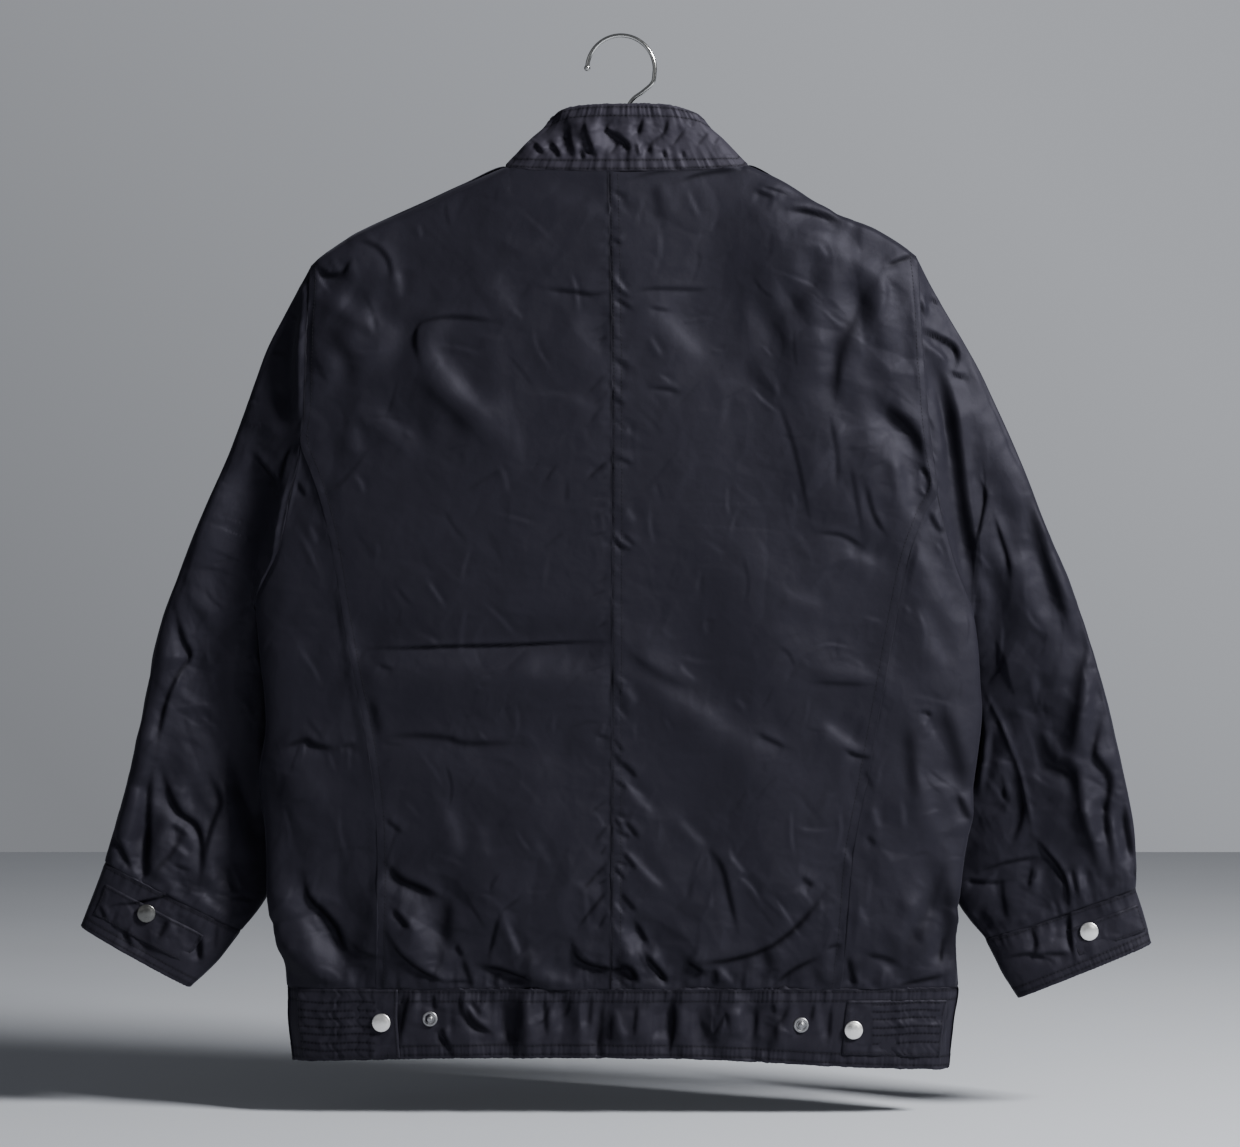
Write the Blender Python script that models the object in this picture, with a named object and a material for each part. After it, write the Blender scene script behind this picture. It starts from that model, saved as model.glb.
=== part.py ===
# Windbreaker jacket, zipped up and hung flat on a plain hanger.
# Metres, +Z up. The jacket's back faces -Y, and the wearer's left is on -X.
# The origin is the inner top of the hanger's hook, where a rod or nail holds it.

from collections import namedtuple
from math import cos, exp, pi, radians, sin, sqrt

import bmesh
import bpy
import numpy as np
from mathutils import Matrix, Vector

# cloth
WALL = 0.0012              # shell cloth with its seam allowance
BAND_WALL = 0.0016         # folded cloth of bands and collar
TAB_WALL = 0.0016
SEAM_GAP = 0.0003
LIE_GAP = 0.0003           # between a tab or snap and what it lies on

# body
CENTRE_BACK = ((-0.0105, -0.109), (-0.0075, -0.300), (-0.0085, -0.772))
CENTRE_FRONT_X = 0.002
WAIST_Z = -0.772           # seam between body and waistband
FOLD_RADIUS = 0.009        # shoulder fold over the hanger
FILL_REACH = 0.080         # distance below the shoulder in which the body opens out
SECTION_POWER = 2.6        # 2 is an ellipse, more is boxier
OVAL_POWER = 2.8           # the same for the sleeves
AT_FOLD = 0.9999           # share of the breadth that counts as the fold itself
NECK_PEAK = (0.0045, -0.063)   # where both shoulder lines would meet
NECK_CENTRE_X = 0.0045
NECK_BACK_SAG = 0.006
NECK_FRONT_DROP = 0.075
NECK_CELLS = 5             # steps of half the front neckline

# collar
COLLAR_TOP_Z = -0.056
COLLAR_TOP_HALF = 0.064
COLLAR_TOP_DEPTH = {-1: 0.017, 1: 0.022}   # half depth at the back and at the front
COLLAR_CORNER_DROP = 0.011
COLLAR_HEIGHT = 0.054

# zip
ZIP_HALF = 0.008           # half width of the gap that the tape fills
ZIP_WALL = 0.0016
ZIP_END_Z = -0.8265
ZIP_ROWS = 22
SLIDER_Z = -0.140
SLIDER_GAP = 0.0007         # between the slider and the tape
SLIDER_SIZE = (0.0090, 0.0032, 0.0120)
CHEEK_INNER = 0.0031
CHEEK_RISE = 0.0030
CHEEK_BOTTOM, CHEEK_TOP = -0.0012, 0.0036   # from the slider's middle
PIVOT_Z = 0.0012           # the pull's pivot, from the slider's middle
PULL_WIDTH = 0.0054
PULL_END_WIDTH = 0.0062
PULL_WIDENS = -0.012, -0.016   # heights between which it widens
PULL_LENGTH = 0.030
PULL_WALL = 0.0016
PULL_PIVOT_RISE = 0.0017   # pivot's distance from the slider's face
PULL_HEAD = 0.0009         # pull's reach above its pivot

# fastenings
CAP_RADIUS = 0.0075
STUD_RADIUS = 0.0062

CUFF_TAB_COLUMNS = {-1: (2, 10), 1: (1, 7)}   # between which of the cuff's columns its tab lies
WAIST_TAB_COLUMNS = 11
BAND_COLUMNS = 66
WAIST_SNAPS = {-1: (-0.194, -0.799), 1: (0.188, -0.805)}
WAIST_STUDS = {-1: (-0.154, -0.797), 1: (0.145, -0.801)}
CUFF_SNAPS = {-1: (-0.387, -0.712), 1: (0.381, -0.727)}

# hanger
HOOK_RADIUS = 0.0275       # to the middle of the wire
WIRE_RADIUS = 0.00175
ARM_THICK = 0.0100
ARM_DEEP = 0.030
ARM_REACH = 0.206
ARM_CENTRE_X = 0.0005
ARM_TAPER = 0.030          # length over which each end slims
ARM_END_SHARE = 0.6        # of the full section, at the ends
ARM_CENTRE_TOP = -0.082
ARM_CENTRE_FALL = 0.026    # how far the rounding at the middle falls within its reach
ARM_CENTRE_REACH = 0.098
ARM_CLEARANCE = 0.0006
ARM_NECK_DIP = 0.0070      # lower under the collar's thicker edge
ARM_DIP_REACH = 0.018

# base colours
SHELL_COLOUR = (0.016, 0.016, 0.021)
BAND_COLOUR = (0.014, 0.014, 0.018)
CHROME_COLOUR = (0.62, 0.62, 0.60)
SNAP_COLOUR = (0.62, 0.61, 0.59)
STUD_COLOUR = (0.34, 0.34, 0.35)
ZIP_METAL_COLOUR = (0.20, 0.20, 0.21)
ZIP_COLOUR = (0.020, 0.020, 0.022)
ARM_COLOUR = (0.05, 0.045, 0.04)

Place = namedtuple("Place", "x z")
Depth = namedtuple("Depth", "z half")
Fold = namedtuple("Fold", "x1 z1 x2 z2 width rise")
Gather = namedtuple("Gather", "x width lean rise")
SleeveRow = namedtuple("SleeveRow", "ox oz oy ix iz iy half")
Side = namedtuple("Side", "sign shoulder armhole seam_share seam side sleeve cuff")

# The body's half depth down its length.
DEPTHS = [Depth(-0.100, 0.030), Depth(-0.450, 0.031), Depth(-0.640, 0.028), Depth(-0.735, 0.030),
          Depth(-0.772, 0.0245), Depth(-0.840, 0.0240)]

# The wearer's left, on -X: shoulder from neck to tip, armhole from tip to underarm,
# side-back seam from the armhole down, and the side from the underarm to the hem.
SHOULDER_LEFT = [Place(-0.094, -0.105), Place(-0.118, -0.115), Place(-0.139, -0.123), Place(-0.159, -0.133),
                 Place(-0.199, -0.151), Place(-0.222, -0.163), Place(-0.240, -0.176), Place(-0.252, -0.186)]
ARMHOLE_LEFT = [Place(-0.252, -0.186), Place(-0.254, -0.235), Place(-0.256, -0.296), Place(-0.260, -0.336),
                Place(-0.269, -0.377), Place(-0.279, -0.420), Place(-0.297, -0.455)]
SEAM_LEFT = [Place(-0.243, -0.377), Place(-0.232, -0.424), Place(-0.221, -0.494), Place(-0.206, -0.571),
             Place(-0.199, -0.620), Place(-0.197, -0.673), Place(-0.198, -0.772)]
GUIDE_LEFT = [Place(-0.284, -0.186), Place(-0.289, -0.296), Place(-0.294, -0.390)]
SIDE_LEFT = [Place(-0.297, -0.455), Place(-0.294, -0.498), Place(-0.290, -0.531), Place(-0.289, -0.565),
             Place(-0.295, -0.603), Place(-0.290, -0.640), Place(-0.286, -0.700), Place(-0.275, -0.745),
             Place(-0.271, -0.772), Place(-0.271, -0.794), Place(-0.267, -0.831)]

# The wearer's right, on +X.
SHOULDER_RIGHT = [Place(0.103, -0.104), Place(0.125, -0.114), Place(0.145, -0.126), Place(0.165, -0.139),
                  Place(0.179, -0.147), Place(0.198, -0.152), Place(0.222, -0.165), Place(0.240, -0.178)]
ARMHOLE_RIGHT = [Place(0.240, -0.178), Place(0.243, -0.235), Place(0.247, -0.296), Place(0.251, -0.336),
                 Place(0.257, -0.377), Place(0.270, -0.425), Place(0.285, -0.462)]
SEAM_RIGHT = [Place(0.240, -0.400), Place(0.228, -0.441), Place(0.211, -0.534), Place(0.199, -0.603),
              Place(0.188, -0.661), Place(0.182, -0.731), Place(0.177, -0.772)]
GUIDE_RIGHT = [Place(0.273, -0.178), Place(0.277, -0.296), Place(0.281, -0.390)]
SIDE_RIGHT = [Place(0.285, -0.462), Place(0.289, -0.494), Place(0.292, -0.531), Place(0.293, -0.556),
              Place(0.287, -0.600), Place(0.284, -0.640), Place(0.275, -0.692), Place(0.272, -0.730),
              Place(0.274, -0.772), Place(0.271, -0.794), Place(0.266, -0.838)]

# The hem from the left side to the right, which sags unevenly.
HEM = [Place(-0.267, -0.831), Place(-0.208, -0.829), Place(-0.120, -0.827), Place(0.015, -0.827),
       Place(0.090, -0.829), Place(0.174, -0.834), Place(0.266, -0.838)]

# Sleeve sections from armhole to cuff: outer fold (ox, oy, oz), inner fold (ix, iy, iz)
# and half the thickness between them.
SLEEVE_LEFT = [
    SleeveRow(-0.252, -0.186, 0.000, -0.2970, -0.455, 0.000, 0.008),
    SleeveRow(-0.268, -0.215, 0.004, -0.3010, -0.461, 0.004, 0.009),
    SleeveRow(-0.288, -0.252, 0.007, -0.3030, -0.466, 0.008, 0.010),
    SleeveRow(-0.304, -0.296, 0.008, -0.3036, -0.471, 0.012, 0.012),
    SleeveRow(-0.320, -0.339, 0.008, -0.3024, -0.478, 0.017, 0.014),
    SleeveRow(-0.338, -0.380, 0.007, -0.2990, -0.488, 0.024, 0.016),
    SleeveRow(-0.357, -0.427, 0.007, -0.2920, -0.504, 0.032, 0.018),
    SleeveRow(-0.376, -0.482, 0.007, -0.2800, -0.534, 0.042, 0.018),
    SleeveRow(-0.390, -0.551, 0.008, -0.2730, -0.588, 0.049, 0.017),
    SleeveRow(-0.404, -0.612, 0.009, -0.2740, -0.648, 0.049, 0.016),
    SleeveRow(-0.414, -0.648, 0.010, -0.2880, -0.696, 0.040, 0.015),
    SleeveRow(-0.421, -0.672, 0.010, -0.3120, -0.729, 0.026, 0.013)]
SLEEVE_RIGHT = [
    SleeveRow(0.240, -0.178, 0.000, 0.2850, -0.462, 0.000, 0.008),
    SleeveRow(0.253, -0.203, 0.004, 0.2892, -0.468, 0.0045, 0.009),
    SleeveRow(0.270, -0.232, 0.007, 0.2914, -0.473, 0.0085, 0.010),
    SleeveRow(0.290, -0.266, 0.008, 0.2916, -0.478, 0.012, 0.012),
    SleeveRow(0.309, -0.306, 0.008, 0.2904, -0.485, 0.017, 0.014),
    SleeveRow(0.327, -0.347, 0.007, 0.2870, -0.495, 0.024, 0.016),
    SleeveRow(0.347, -0.400, 0.007, 0.2815, -0.511, 0.032, 0.018),
    SleeveRow(0.370, -0.455, 0.007, 0.2740, -0.541, 0.042, 0.018),
    SleeveRow(0.390, -0.517, 0.008, 0.2640, -0.590, 0.049, 0.017),
    SleeveRow(0.406, -0.584, 0.009, 0.2630, -0.645, 0.049, 0.016),
    SleeveRow(0.419, -0.645, 0.010, 0.2740, -0.700, 0.040, 0.015),
    SleeveRow(0.420, -0.693, 0.010, 0.2990, -0.736, 0.027, 0.013)]
CUFF_LEFT = [SLEEVE_LEFT[-1],
             SleeveRow(-0.431, -0.698, 0.011, -0.330, -0.753, 0.023, 0.012),
             SleeveRow(-0.441, -0.723, 0.012, -0.352, -0.774, 0.020, 0.014)]
CUFF_RIGHT = [SLEEVE_RIGHT[-1],
              SleeveRow(0.427, -0.715, 0.011, 0.311, -0.760, 0.024, 0.012),
              SleeveRow(0.433, -0.737, 0.012, 0.325, -0.782, 0.021, 0.014)]

# The largest folds on the back, from one end to the other: a ridge rises, a trough doesn't.
BACK_FOLDS = [
    Fold(-0.170, -0.235, -0.100, -0.315, 0.013, 0.0040),
    Fold(-0.245, -0.205, -0.180, -0.255, 0.014, -0.0035),
    Fold(-0.255, -0.280, -0.200, -0.240, 0.014, 0.0035),
    Fold(-0.235, -0.225, -0.165, -0.290, 0.013, 0.0030),
    Fold(0.150, -0.205, 0.120, -0.245, 0.014, -0.0045),
    Fold(0.195, -0.210, 0.171, -0.300, 0.015, -0.0045),
    Fold(0.216, -0.195, 0.205, -0.245, 0.013, 0.0045),
    Fold(0.202, -0.296, 0.240, -0.345, 0.013, -0.0045),
    Fold(-0.205, -0.502, -0.020, -0.493, 0.013, -0.0045),
    Fold(-0.195, -0.520, -0.030, -0.512, 0.014, 0.0035),
    Fold(-0.205, -0.560, -0.050, -0.574, 0.018, -0.0030),
    Fold(0.140, -0.402, 0.210, -0.428, 0.018, -0.0030),
    Fold(0.128, -0.502, 0.210, -0.520, 0.018, 0.0030),
    Fold(0.000, -0.490, 0.064, -0.556, 0.020, 0.0030),
    Fold(-0.195, -0.674, -0.138, -0.692, 0.015, -0.0040),
    Fold(-0.245, -0.665, -0.223, -0.744, 0.014, -0.0040),
    Fold(-0.120, -0.755, -0.075, -0.764, 0.012, -0.0040),
    Fold(0.030, -0.750, 0.065, -0.765, 0.012, -0.0040),
    Fold(0.125, -0.765, 0.140, -0.755, 0.012, -0.0040)]

# Similar folds on the fronts.
FRONT_FOLDS = [
    Fold(-0.240, -0.210, -0.170, -0.270, 0.014, 0.0035),
    Fold(-0.215, -0.270, -0.140, -0.330, 0.015, -0.0035),
    Fold(-0.200, -0.480, -0.050, -0.500, 0.016, -0.0040),
    Fold(-0.210, -0.600, -0.060, -0.580, 0.018, 0.0030),
    Fold(-0.180, -0.690, -0.110, -0.720, 0.015, -0.0035),
    Fold(0.225, -0.210, 0.150, -0.290, 0.015, -0.0040),
    Fold(0.190, -0.270, 0.130, -0.360, 0.015, 0.0030),
    Fold(0.060, -0.520, 0.200, -0.490, 0.017, -0.0040),
    Fold(0.070, -0.640, 0.190, -0.660, 0.018, 0.0030),
    Fold(0.100, -0.740, 0.160, -0.700, 0.014, -0.0035)]

# Folds of the sleeves, on both halves.
SLEEVE_FOLDS = [
    Fold(-0.277, -0.330, -0.283, -0.400, 0.012, 0.0040),
    Fold(-0.365, -0.465, -0.351, -0.502, 0.012, -0.0030),
    Fold(-0.372, -0.543, -0.387, -0.680, 0.012, -0.0035),
    Fold(-0.377, -0.595, -0.347, -0.640, 0.013, -0.0030),
    Fold(-0.333, -0.603, -0.339, -0.676, 0.012, 0.0030),
    Fold(0.248, -0.258, 0.290, -0.272, 0.011, -0.0045),
    Fold(0.252, -0.262, 0.262, -0.400, 0.010, -0.0050),
    Fold(0.335, -0.360, 0.362, -0.495, 0.013, -0.0035),
    Fold(0.380, -0.490, 0.366, -0.587, 0.012, -0.0035),
    Fold(0.347, -0.543, 0.384, -0.676, 0.013, 0.0035),
    Fold(0.293, -0.679, 0.343, -0.667, 0.011, -0.0035)]

# Gathers of the waistband between the tabs: place along X, half width, lean from top to hem, rise.
WAIST_GATHERS = [
    Gather(-0.128, 0.009, 0.010, 0.0026), Gather(-0.108, 0.007, 0.008, -0.0022),
    Gather(-0.090, 0.009, -0.004, -0.0030), Gather(-0.074, 0.008, 0.000, 0.0024),
    Gather(-0.050, 0.009, 0.006, -0.0018), Gather(-0.032, 0.008, 0.000, 0.0026),
    Gather(-0.015, 0.008, -0.006, -0.0028), Gather(0.001, 0.008, 0.008, 0.0024),
    Gather(0.020, 0.009, 0.000, 0.0020), Gather(0.039, 0.007, -0.002, -0.0028),
    Gather(0.056, 0.008, 0.006, 0.0026), Gather(0.072, 0.008, -0.006, -0.0022),
    Gather(0.090, 0.009, 0.000, 0.0020), Gather(0.106, 0.007, 0.004, -0.0024),
    Gather(0.122, 0.008, -0.008, 0.0024)]
FRONT_GATHER_PITCH = 0.021
FRONT_GATHER_RISE = 0.0020

LINE_STEPS = 10            # straight steps between two rows of a smooth line


class Line:
    """A smooth line through a table's rows, read by the share of its length."""

    def __init__(self, rows):
        rows = np.array(rows, dtype=float)
        ends = np.vstack([2 * rows[0] - rows[1], rows, 2 * rows[-1] - rows[-2]])
        points = []
        for a, b, c, d in zip(ends, ends[1:], ends[2:], ends[3:]):
            for step in range(LINE_STEPS):
                t = step / LINE_STEPS
                points.append(b + (c - a) * t / 2 + (a - 2.5 * b + 2 * c - d / 2) * t ** 2
                              + (1.5 * (b - c) + (d - a) / 2) * t ** 3)
        self.points = np.array(points + [rows[-1]])
        steps = np.linalg.norm(np.diff(self.points, axis=0), axis=1)
        self.reach = np.concatenate([[0.0], np.cumsum(steps)]) / steps.sum()

    def at(self, share):
        return np.array([np.interp(share, self.reach, column) for column in self.points.T])

    def share_at_z(self, z):
        return float(np.interp(-z, -self.points[:, 1], self.reach))

    def x_at_z(self, z):
        return float(np.interp(-z, -self.points[:, 1], self.points[:, 0]))


BREADTH = {}               # each side's guide and side fold, which bound the body's sections


def make_side(sign, shoulder, armhole, seam_z, seam, guide, side, sleeve, cuff):
    armhole_line = Line(armhole)
    seam_share = armhole_line.share_at_z(seam_z)
    seam_top = Place(*armhole_line.at(seam_share))
    made = Side(sign, Line(shoulder), armhole_line, seam_share, Line([seam_top] + seam), Line(side),
                Line(sleeve), Line(cuff))
    BREADTH[sign] = np.vstack([np.array(guide), made.side.points])
    return made


SEAM_TOP_Z = {-1: -0.331, 1: -0.368}
LEFT = make_side(-1, SHOULDER_LEFT, ARMHOLE_LEFT, SEAM_TOP_Z[-1], SEAM_LEFT, GUIDE_LEFT, SIDE_LEFT,
                 SLEEVE_LEFT, CUFF_LEFT)
RIGHT = make_side(1, SHOULDER_RIGHT, ARMHOLE_RIGHT, SEAM_TOP_Z[1], SEAM_RIGHT, GUIDE_RIGHT, SIDE_RIGHT,
                  SLEEVE_RIGHT, CUFF_RIGHT)
RIDGE = np.vstack([LEFT.shoulder.points[::-1], [NECK_PEAK], RIGHT.shoulder.points])
HEM_LINE = Line(HEM)
CENTRE_BACK_LINE = Line([Place(*row) for row in CENTRE_BACK])
FACE_NAMES = {-1: "back", 1: "front"}
SIDE_NAMES = {-1: "left", 1: "right"}


def smooth_step(t):
    t = min(max(t, 0.0), 1.0)
    return t * t * (3 - 2 * t)


def fold_rise(x, z, folds):
    """The height of all ridges and troughs at a place, each faded towards its ends."""
    total = 0.0
    for fold in folds:
        run_x, run_z = fold.x2 - fold.x1, fold.z2 - fold.z1
        along = ((x - fold.x1) * run_x + (z - fold.z1) * run_z) / (run_x ** 2 + run_z ** 2)
        near = min(max(along, 0.0), 1.0)
        away = sqrt((x - fold.x1 - near * run_x) ** 2 + (z - fold.z1 - near * run_z) ** 2)
        total += fold.rise * exp(-(away / fold.width) ** 2)
    return total


def breadth_share(x, z):
    """0 on the body's middle line and 1 on its side folds, which lie at y = 0."""
    edges = [float(np.interp(-z, -BREADTH[sign][:, 1], BREADTH[sign][:, 0])) for sign in (-1, 1)]
    middle = (edges[0] + edges[1]) / 2
    share = abs(x - middle) / (edges[1] - middle)
    return 1.0 if share > AT_FOLD else share


def body_depth(x, z):
    """The body's half depth: a fold over the hanger that opens out below it."""
    below = max(float(np.interp(x, RIDGE[:, 0], RIDGE[:, 1])) - z, 0.0)
    turned = min(below / FOLD_RADIUS, 1.0)
    fold = FOLD_RADIUS * sqrt(1 - (1 - turned) ** 2)
    half = float(np.interp(-z, [-row.z for row in DEPTHS], [row.half for row in DEPTHS]))
    opened = (half - FOLD_RADIUS) * (1 - exp(-below / FILL_REACH))
    share = breadth_share(x, z)
    return (fold + opened) * max(1 - share ** SECTION_POWER, 0.0) ** (1 / SECTION_POWER)


def panel_point(x, z, face):
    """A point of the body's outer surface, with its folds, on the back (-1) or the front (1)."""
    depth = body_depth(x, z)
    calm = min(depth / FOLD_RADIUS, 1.0)
    folds = BACK_FOLDS if face < 0 else FRONT_FOLDS
    return (x, face * (depth + calm * fold_rise(x, z, folds)), z)


def coons(inner, outer, top, bottom, rows, cols):
    """Places spread over a patch between its four edges."""
    grid = []
    for v in rows:
        line = []
        for u in cols:
            ruled = (1 - u) * inner(v) + u * outer(v) + (1 - v) * top(u) + v * bottom(u)
            corners = (1 - v) * ((1 - u) * top(0) + u * top(1)) + v * ((1 - u) * bottom(0) + u * bottom(1))
            line.append(ruled - corners)
        grid.append(line)
    return np.array(grid)


def chain(first, second, split):
    """One edge made of two, which meet at the share called split."""
    return lambda t: first(t / split) if t < split else second((t - split) / (1 - split))


def straight(start, end):
    start, end = np.array(start), np.array(end)
    return lambda t: (1 - t) * start + t * end


def spread(start, end, count):
    return list(np.linspace(start, end, count + 1))


def neck_place(angle, face):
    """The neckline: angle 0 is the left neck point and pi the right one."""
    left, right = LEFT.shoulder.at(0), RIGHT.shoulder.at(0)
    share = (1 - cos(angle)) / 2
    x = left[0] + (right[0] - left[0]) * share
    drop = NECK_BACK_SAG if face < 0 else NECK_FRONT_DROP
    return np.array([x, left[1] + (right[1] - left[1]) * share - drop * sin(angle)])


def neck_angle(x):
    """The angle at which the neckline passes x."""
    left, right = LEFT.shoulder.at(0)[0], RIGHT.shoulder.at(0)[0]
    return float(np.arccos(1 - 2 * (x - left) / (right - left)))


def neck_edge(side, face, start_x):
    """The neckline from the middle of the back or the front to one neck point."""
    first = neck_angle(start_x)
    last = 0.0 if side.sign < 0 else pi
    return lambda t: neck_place(first + (last - first) * t, face)


# shares of the armhole above the side-back seam, and below it, closer at the fold
UPPER_ARMHOLE = [0.0, 0.0075, 0.10, 0.34, 0.68]
LOWER_ARMHOLE = [0.0, 0.36, 0.68, 0.89, 0.975, 1.0]
SHOULDER_ROWS = [0.0, 0.0045, 0.0140]      # close rows round the shoulder fold
BACK_ARMHOLE_END = 0.25    # share of the back panel's outer edge that the armhole takes
FRONT_ARMHOLE_END = 0.45   # the same on the front
BACK_NECK_END = 1 / 3      # share of the back panel's top that the neckline takes
FRONT_NECK_END = 0.36
CAP_SHARE = 0.16           # share of the sleeve that still has the armhole's form
RING_BIAS = 1.1            # more than 1 sets the sleeve's rings closer at the armhole
SLEEVE_RINGS = 20
CUFF_RINGS, CUFF_COLUMNS = 4, 14
COLLAR_BACK_CELLS, COLLAR_ROWS = 16, 4
FRONT_BAND_COLUMNS = 24


def back_grid(side):
    waist = side.seam.at(1)
    rows = SHOULDER_ROWS + spread(SHOULDER_ROWS[-1], BACK_ARMHOLE_END, 6)[1:]
    rows += spread(BACK_ARMHOLE_END, 1, 18)[1:]
    neck = neck_edge(side, -1, CENTRE_BACK[0][0])
    inner = straight_line(CENTRE_BACK_LINE, neck(0), WAIST_Z)
    outer = chain(lambda t: side.armhole.at(t * side.seam_share), side.seam.at, BACK_ARMHOLE_END)
    top = chain(neck, side.shoulder.at, BACK_NECK_END)
    grid = coons(inner, outer, top, straight(inner(1), waist), rows, spread(0, 1, 12))
    return surface(grid, -1)


def straight_line(line, top, bottom_z):
    """A seam line read by height, from the neckline down."""
    def at(t):
        z = top[1] + (bottom_z - top[1]) * t
        return np.array([line.x_at_z(z) if t > 0 else top[0], z])
    return at


def side_grid(side):
    waist = side.seam.at(1)
    side_end = side.side.share_at_z(WAIST_Z)
    top = lambda t: side.armhole.at(side.seam_share + (1 - side.seam_share) * t)
    outer = lambda t: side.side.at(t * side_end)
    bottom = straight(waist, side.side.at(side_end))
    grid = coons(side.seam.at, outer, top, bottom, spread(0, 1, 18), LOWER_ARMHOLE)
    return surface(grid, -1)


def front_grid(side):
    split, neck_end = FRONT_ARMHOLE_END, FRONT_NECK_END
    start_x = CENTRE_FRONT_X + side.sign * ZIP_HALF
    side_end = side.side.share_at_z(WAIST_Z)
    neck = neck_edge(side, 1, start_x)
    inner = straight(neck(0), (start_x, WAIST_Z))
    outer = chain(side.armhole.at, lambda t: side.side.at(t * side_end), split)
    top = chain(neck, side.shoulder.at, neck_end)
    rows = SHOULDER_ROWS + spread(SHOULDER_ROWS[-1], split * side.seam_share, 5)[1:-1]
    rows += [split * share for share in lower_shares(side)] + spread(split, 1, 12)[1:]
    cols = spread(0, neck_end, NECK_CELLS)[:-1]
    cols += [1 - (1 - neck_end) * (1 - step) ** 1.5 for step in spread(0, 1, 7)]
    bottom = straight((start_x, WAIST_Z), side.side.at(side_end))
    return surface(coons(inner, outer, top, bottom, rows, cols), 1)


def lower_shares(side):
    """Shares of the whole armhole at which pieces meet below the side-back seam."""
    return [side.seam_share + (1 - side.seam_share) * share for share in LOWER_ARMHOLE]


def surface(grid, face):
    return np.array([[panel_point(x, z, face) for x, z in line] for line in grid])


def sleeve_grid(side, face):
    """Rings from the armhole down: each is the armhole's own form at first, then a flat oval."""
    tip, underarm = side.armhole.at(0), side.armhole.at(1)
    grid = []
    for step in spread(0, 1, SLEEVE_RINGS):
        share = step ** RING_BIAS
        row = SleeveRow(*side.sleeve.at(share))
        settled = smooth_step(share / CAP_SHARE)
        line = []
        for across in [side.seam_share * part for part in UPPER_ARMHOLE] + lower_shares(side):
            puff = oval_height(across)
            hole = side.armhole.at(across)
            hole_point = np.array(panel_point(hole[0], hole[1], face))
            chord = (1 - across) * tip + across * underarm
            cap = oval_point(row, across, 0.0, face) + hole_point - np.array([chord[0], 0.0, chord[1]])
            line.append((1 - settled) * cap + settled * sleeve_point(row, across, puff, face))
        grid.append(line)
    return np.array(grid)


def oval_height(across):
    """Height of a flat oval, as a share, at a share of its breadth."""
    return max(1 - abs(2 * across - 1) ** OVAL_POWER, 0.0) ** (1 / OVAL_POWER)


def oval_point(row, across, puff, face):
    outer, inner = np.array([row.ox, row.oy, row.oz]), np.array([row.ix, row.iy, row.iz])
    run = inner - outer
    run = run / np.linalg.norm(run)
    out = np.array([0.0, 1.0, 0.0]) - run[1] * run
    out = out / np.linalg.norm(out)
    return (1 - across) * outer + across * inner + face * row.half * puff * out


def sleeve_point(row, across, puff, face):
    point = oval_point(row, across, puff, face)
    point[1] += face * min(puff, 1.0) * fold_rise(point[0], point[2], SLEEVE_FOLDS)
    return point


def cuff_grid(side, face):
    grid = []
    for share in spread(0, 1, CUFF_RINGS):
        row = SleeveRow(*side.cuff.at(share))
        shares = [(1 - cos(angle)) / 2 for angle in spread(0, pi, CUFF_COLUMNS)]
        grid.append([oval_point(row, across, oval_height(across), face) for across in shares])
    return np.array(grid)


def band_rise(x, share, face):
    """The waistband's gathers: leaning ridges and troughs that fade at both of its edges."""
    if face < 0:
        folds = sum(g.rise * exp(-((x - g.x - g.lean * (share - 0.5)) / g.width) ** 2)
                    for g in WAIST_GATHERS)
        return folds * sin(pi * (0.15 + 0.7 * share))
    beside_zip = abs(x - CENTRE_FRONT_X) - ZIP_HALF
    return FRONT_GATHER_RISE * sin(2 * pi * beside_zip / FRONT_GATHER_PITCH) * sin(pi * share)


BAND_ROWS = [0.0, 0.14, 0.38, 0.62, 0.86, 1.0]


def band_grid(face, start, end, columns):
    """A stretch of the waistband between two edges, each read by its share of the band's height."""
    grid = []
    for share in BAND_ROWS:
        line = []
        for across in spread(0, 1, columns):
            x = (1 - across) * start(share) + across * end(share)
            bottom = float(np.interp(x, HEM_LINE.points[:, 0], HEM_LINE.points[:, 1]))
            z = WAIST_Z + (bottom - WAIST_Z) * share
            depth = body_depth(x, z)
            calm = min(depth / FOLD_RADIUS, 1.0)
            line.append((x, face * (depth + calm * band_rise(x, share, face)), z))
        grid.append(line)
    return np.array(grid)


def band_edge(side):
    """The band's side fold as a function of the share of its height."""
    first = side.side.share_at_z(WAIST_Z)
    return lambda share: side.side.at(first + (1 - first) * share)[0]


def collar_grid():
    """The collar's ring from the left edge of the zip round the back to its right edge."""
    gap = neck_angle(CENTRE_FRONT_X - ZIP_HALF), neck_angle(CENTRE_FRONT_X + ZIP_HALF)
    turns = [(gap[0] * (1 - t), 1) for t in spread(0, 1, NECK_CELLS)]
    turns += [(pi * t, -1) for t in spread(0, 1, COLLAR_BACK_CELLS)[1:-1]]
    turns += [(pi + (gap[1] - pi) * t, 1) for t in spread(0, 1, NECK_CELLS)]
    grid = []
    for height in spread(0, 1, COLLAR_ROWS):
        line = []
        for angle, face in turns:
            x, z = neck_place(angle, face)
            base = np.array([x, face * body_depth(x, z), z])
            top_x = NECK_CENTRE_X - COLLAR_TOP_HALF * cos(angle)
            drop = COLLAR_CORNER_DROP * abs(cos(angle)) ** 4
            if face > 0:
                drop += (COLLAR_TOP_Z - COLLAR_HEIGHT - z) * sin(angle)
                top_x = base[0] + (top_x - base[0]) * (1 - sin(angle))
            top = np.array([top_x, face * COLLAR_TOP_DEPTH[face] * sin(angle), COLLAR_TOP_Z - drop])
            line.append((1 - height) * base + height * top)
        grid.append(line)
    return np.array(grid)


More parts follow.
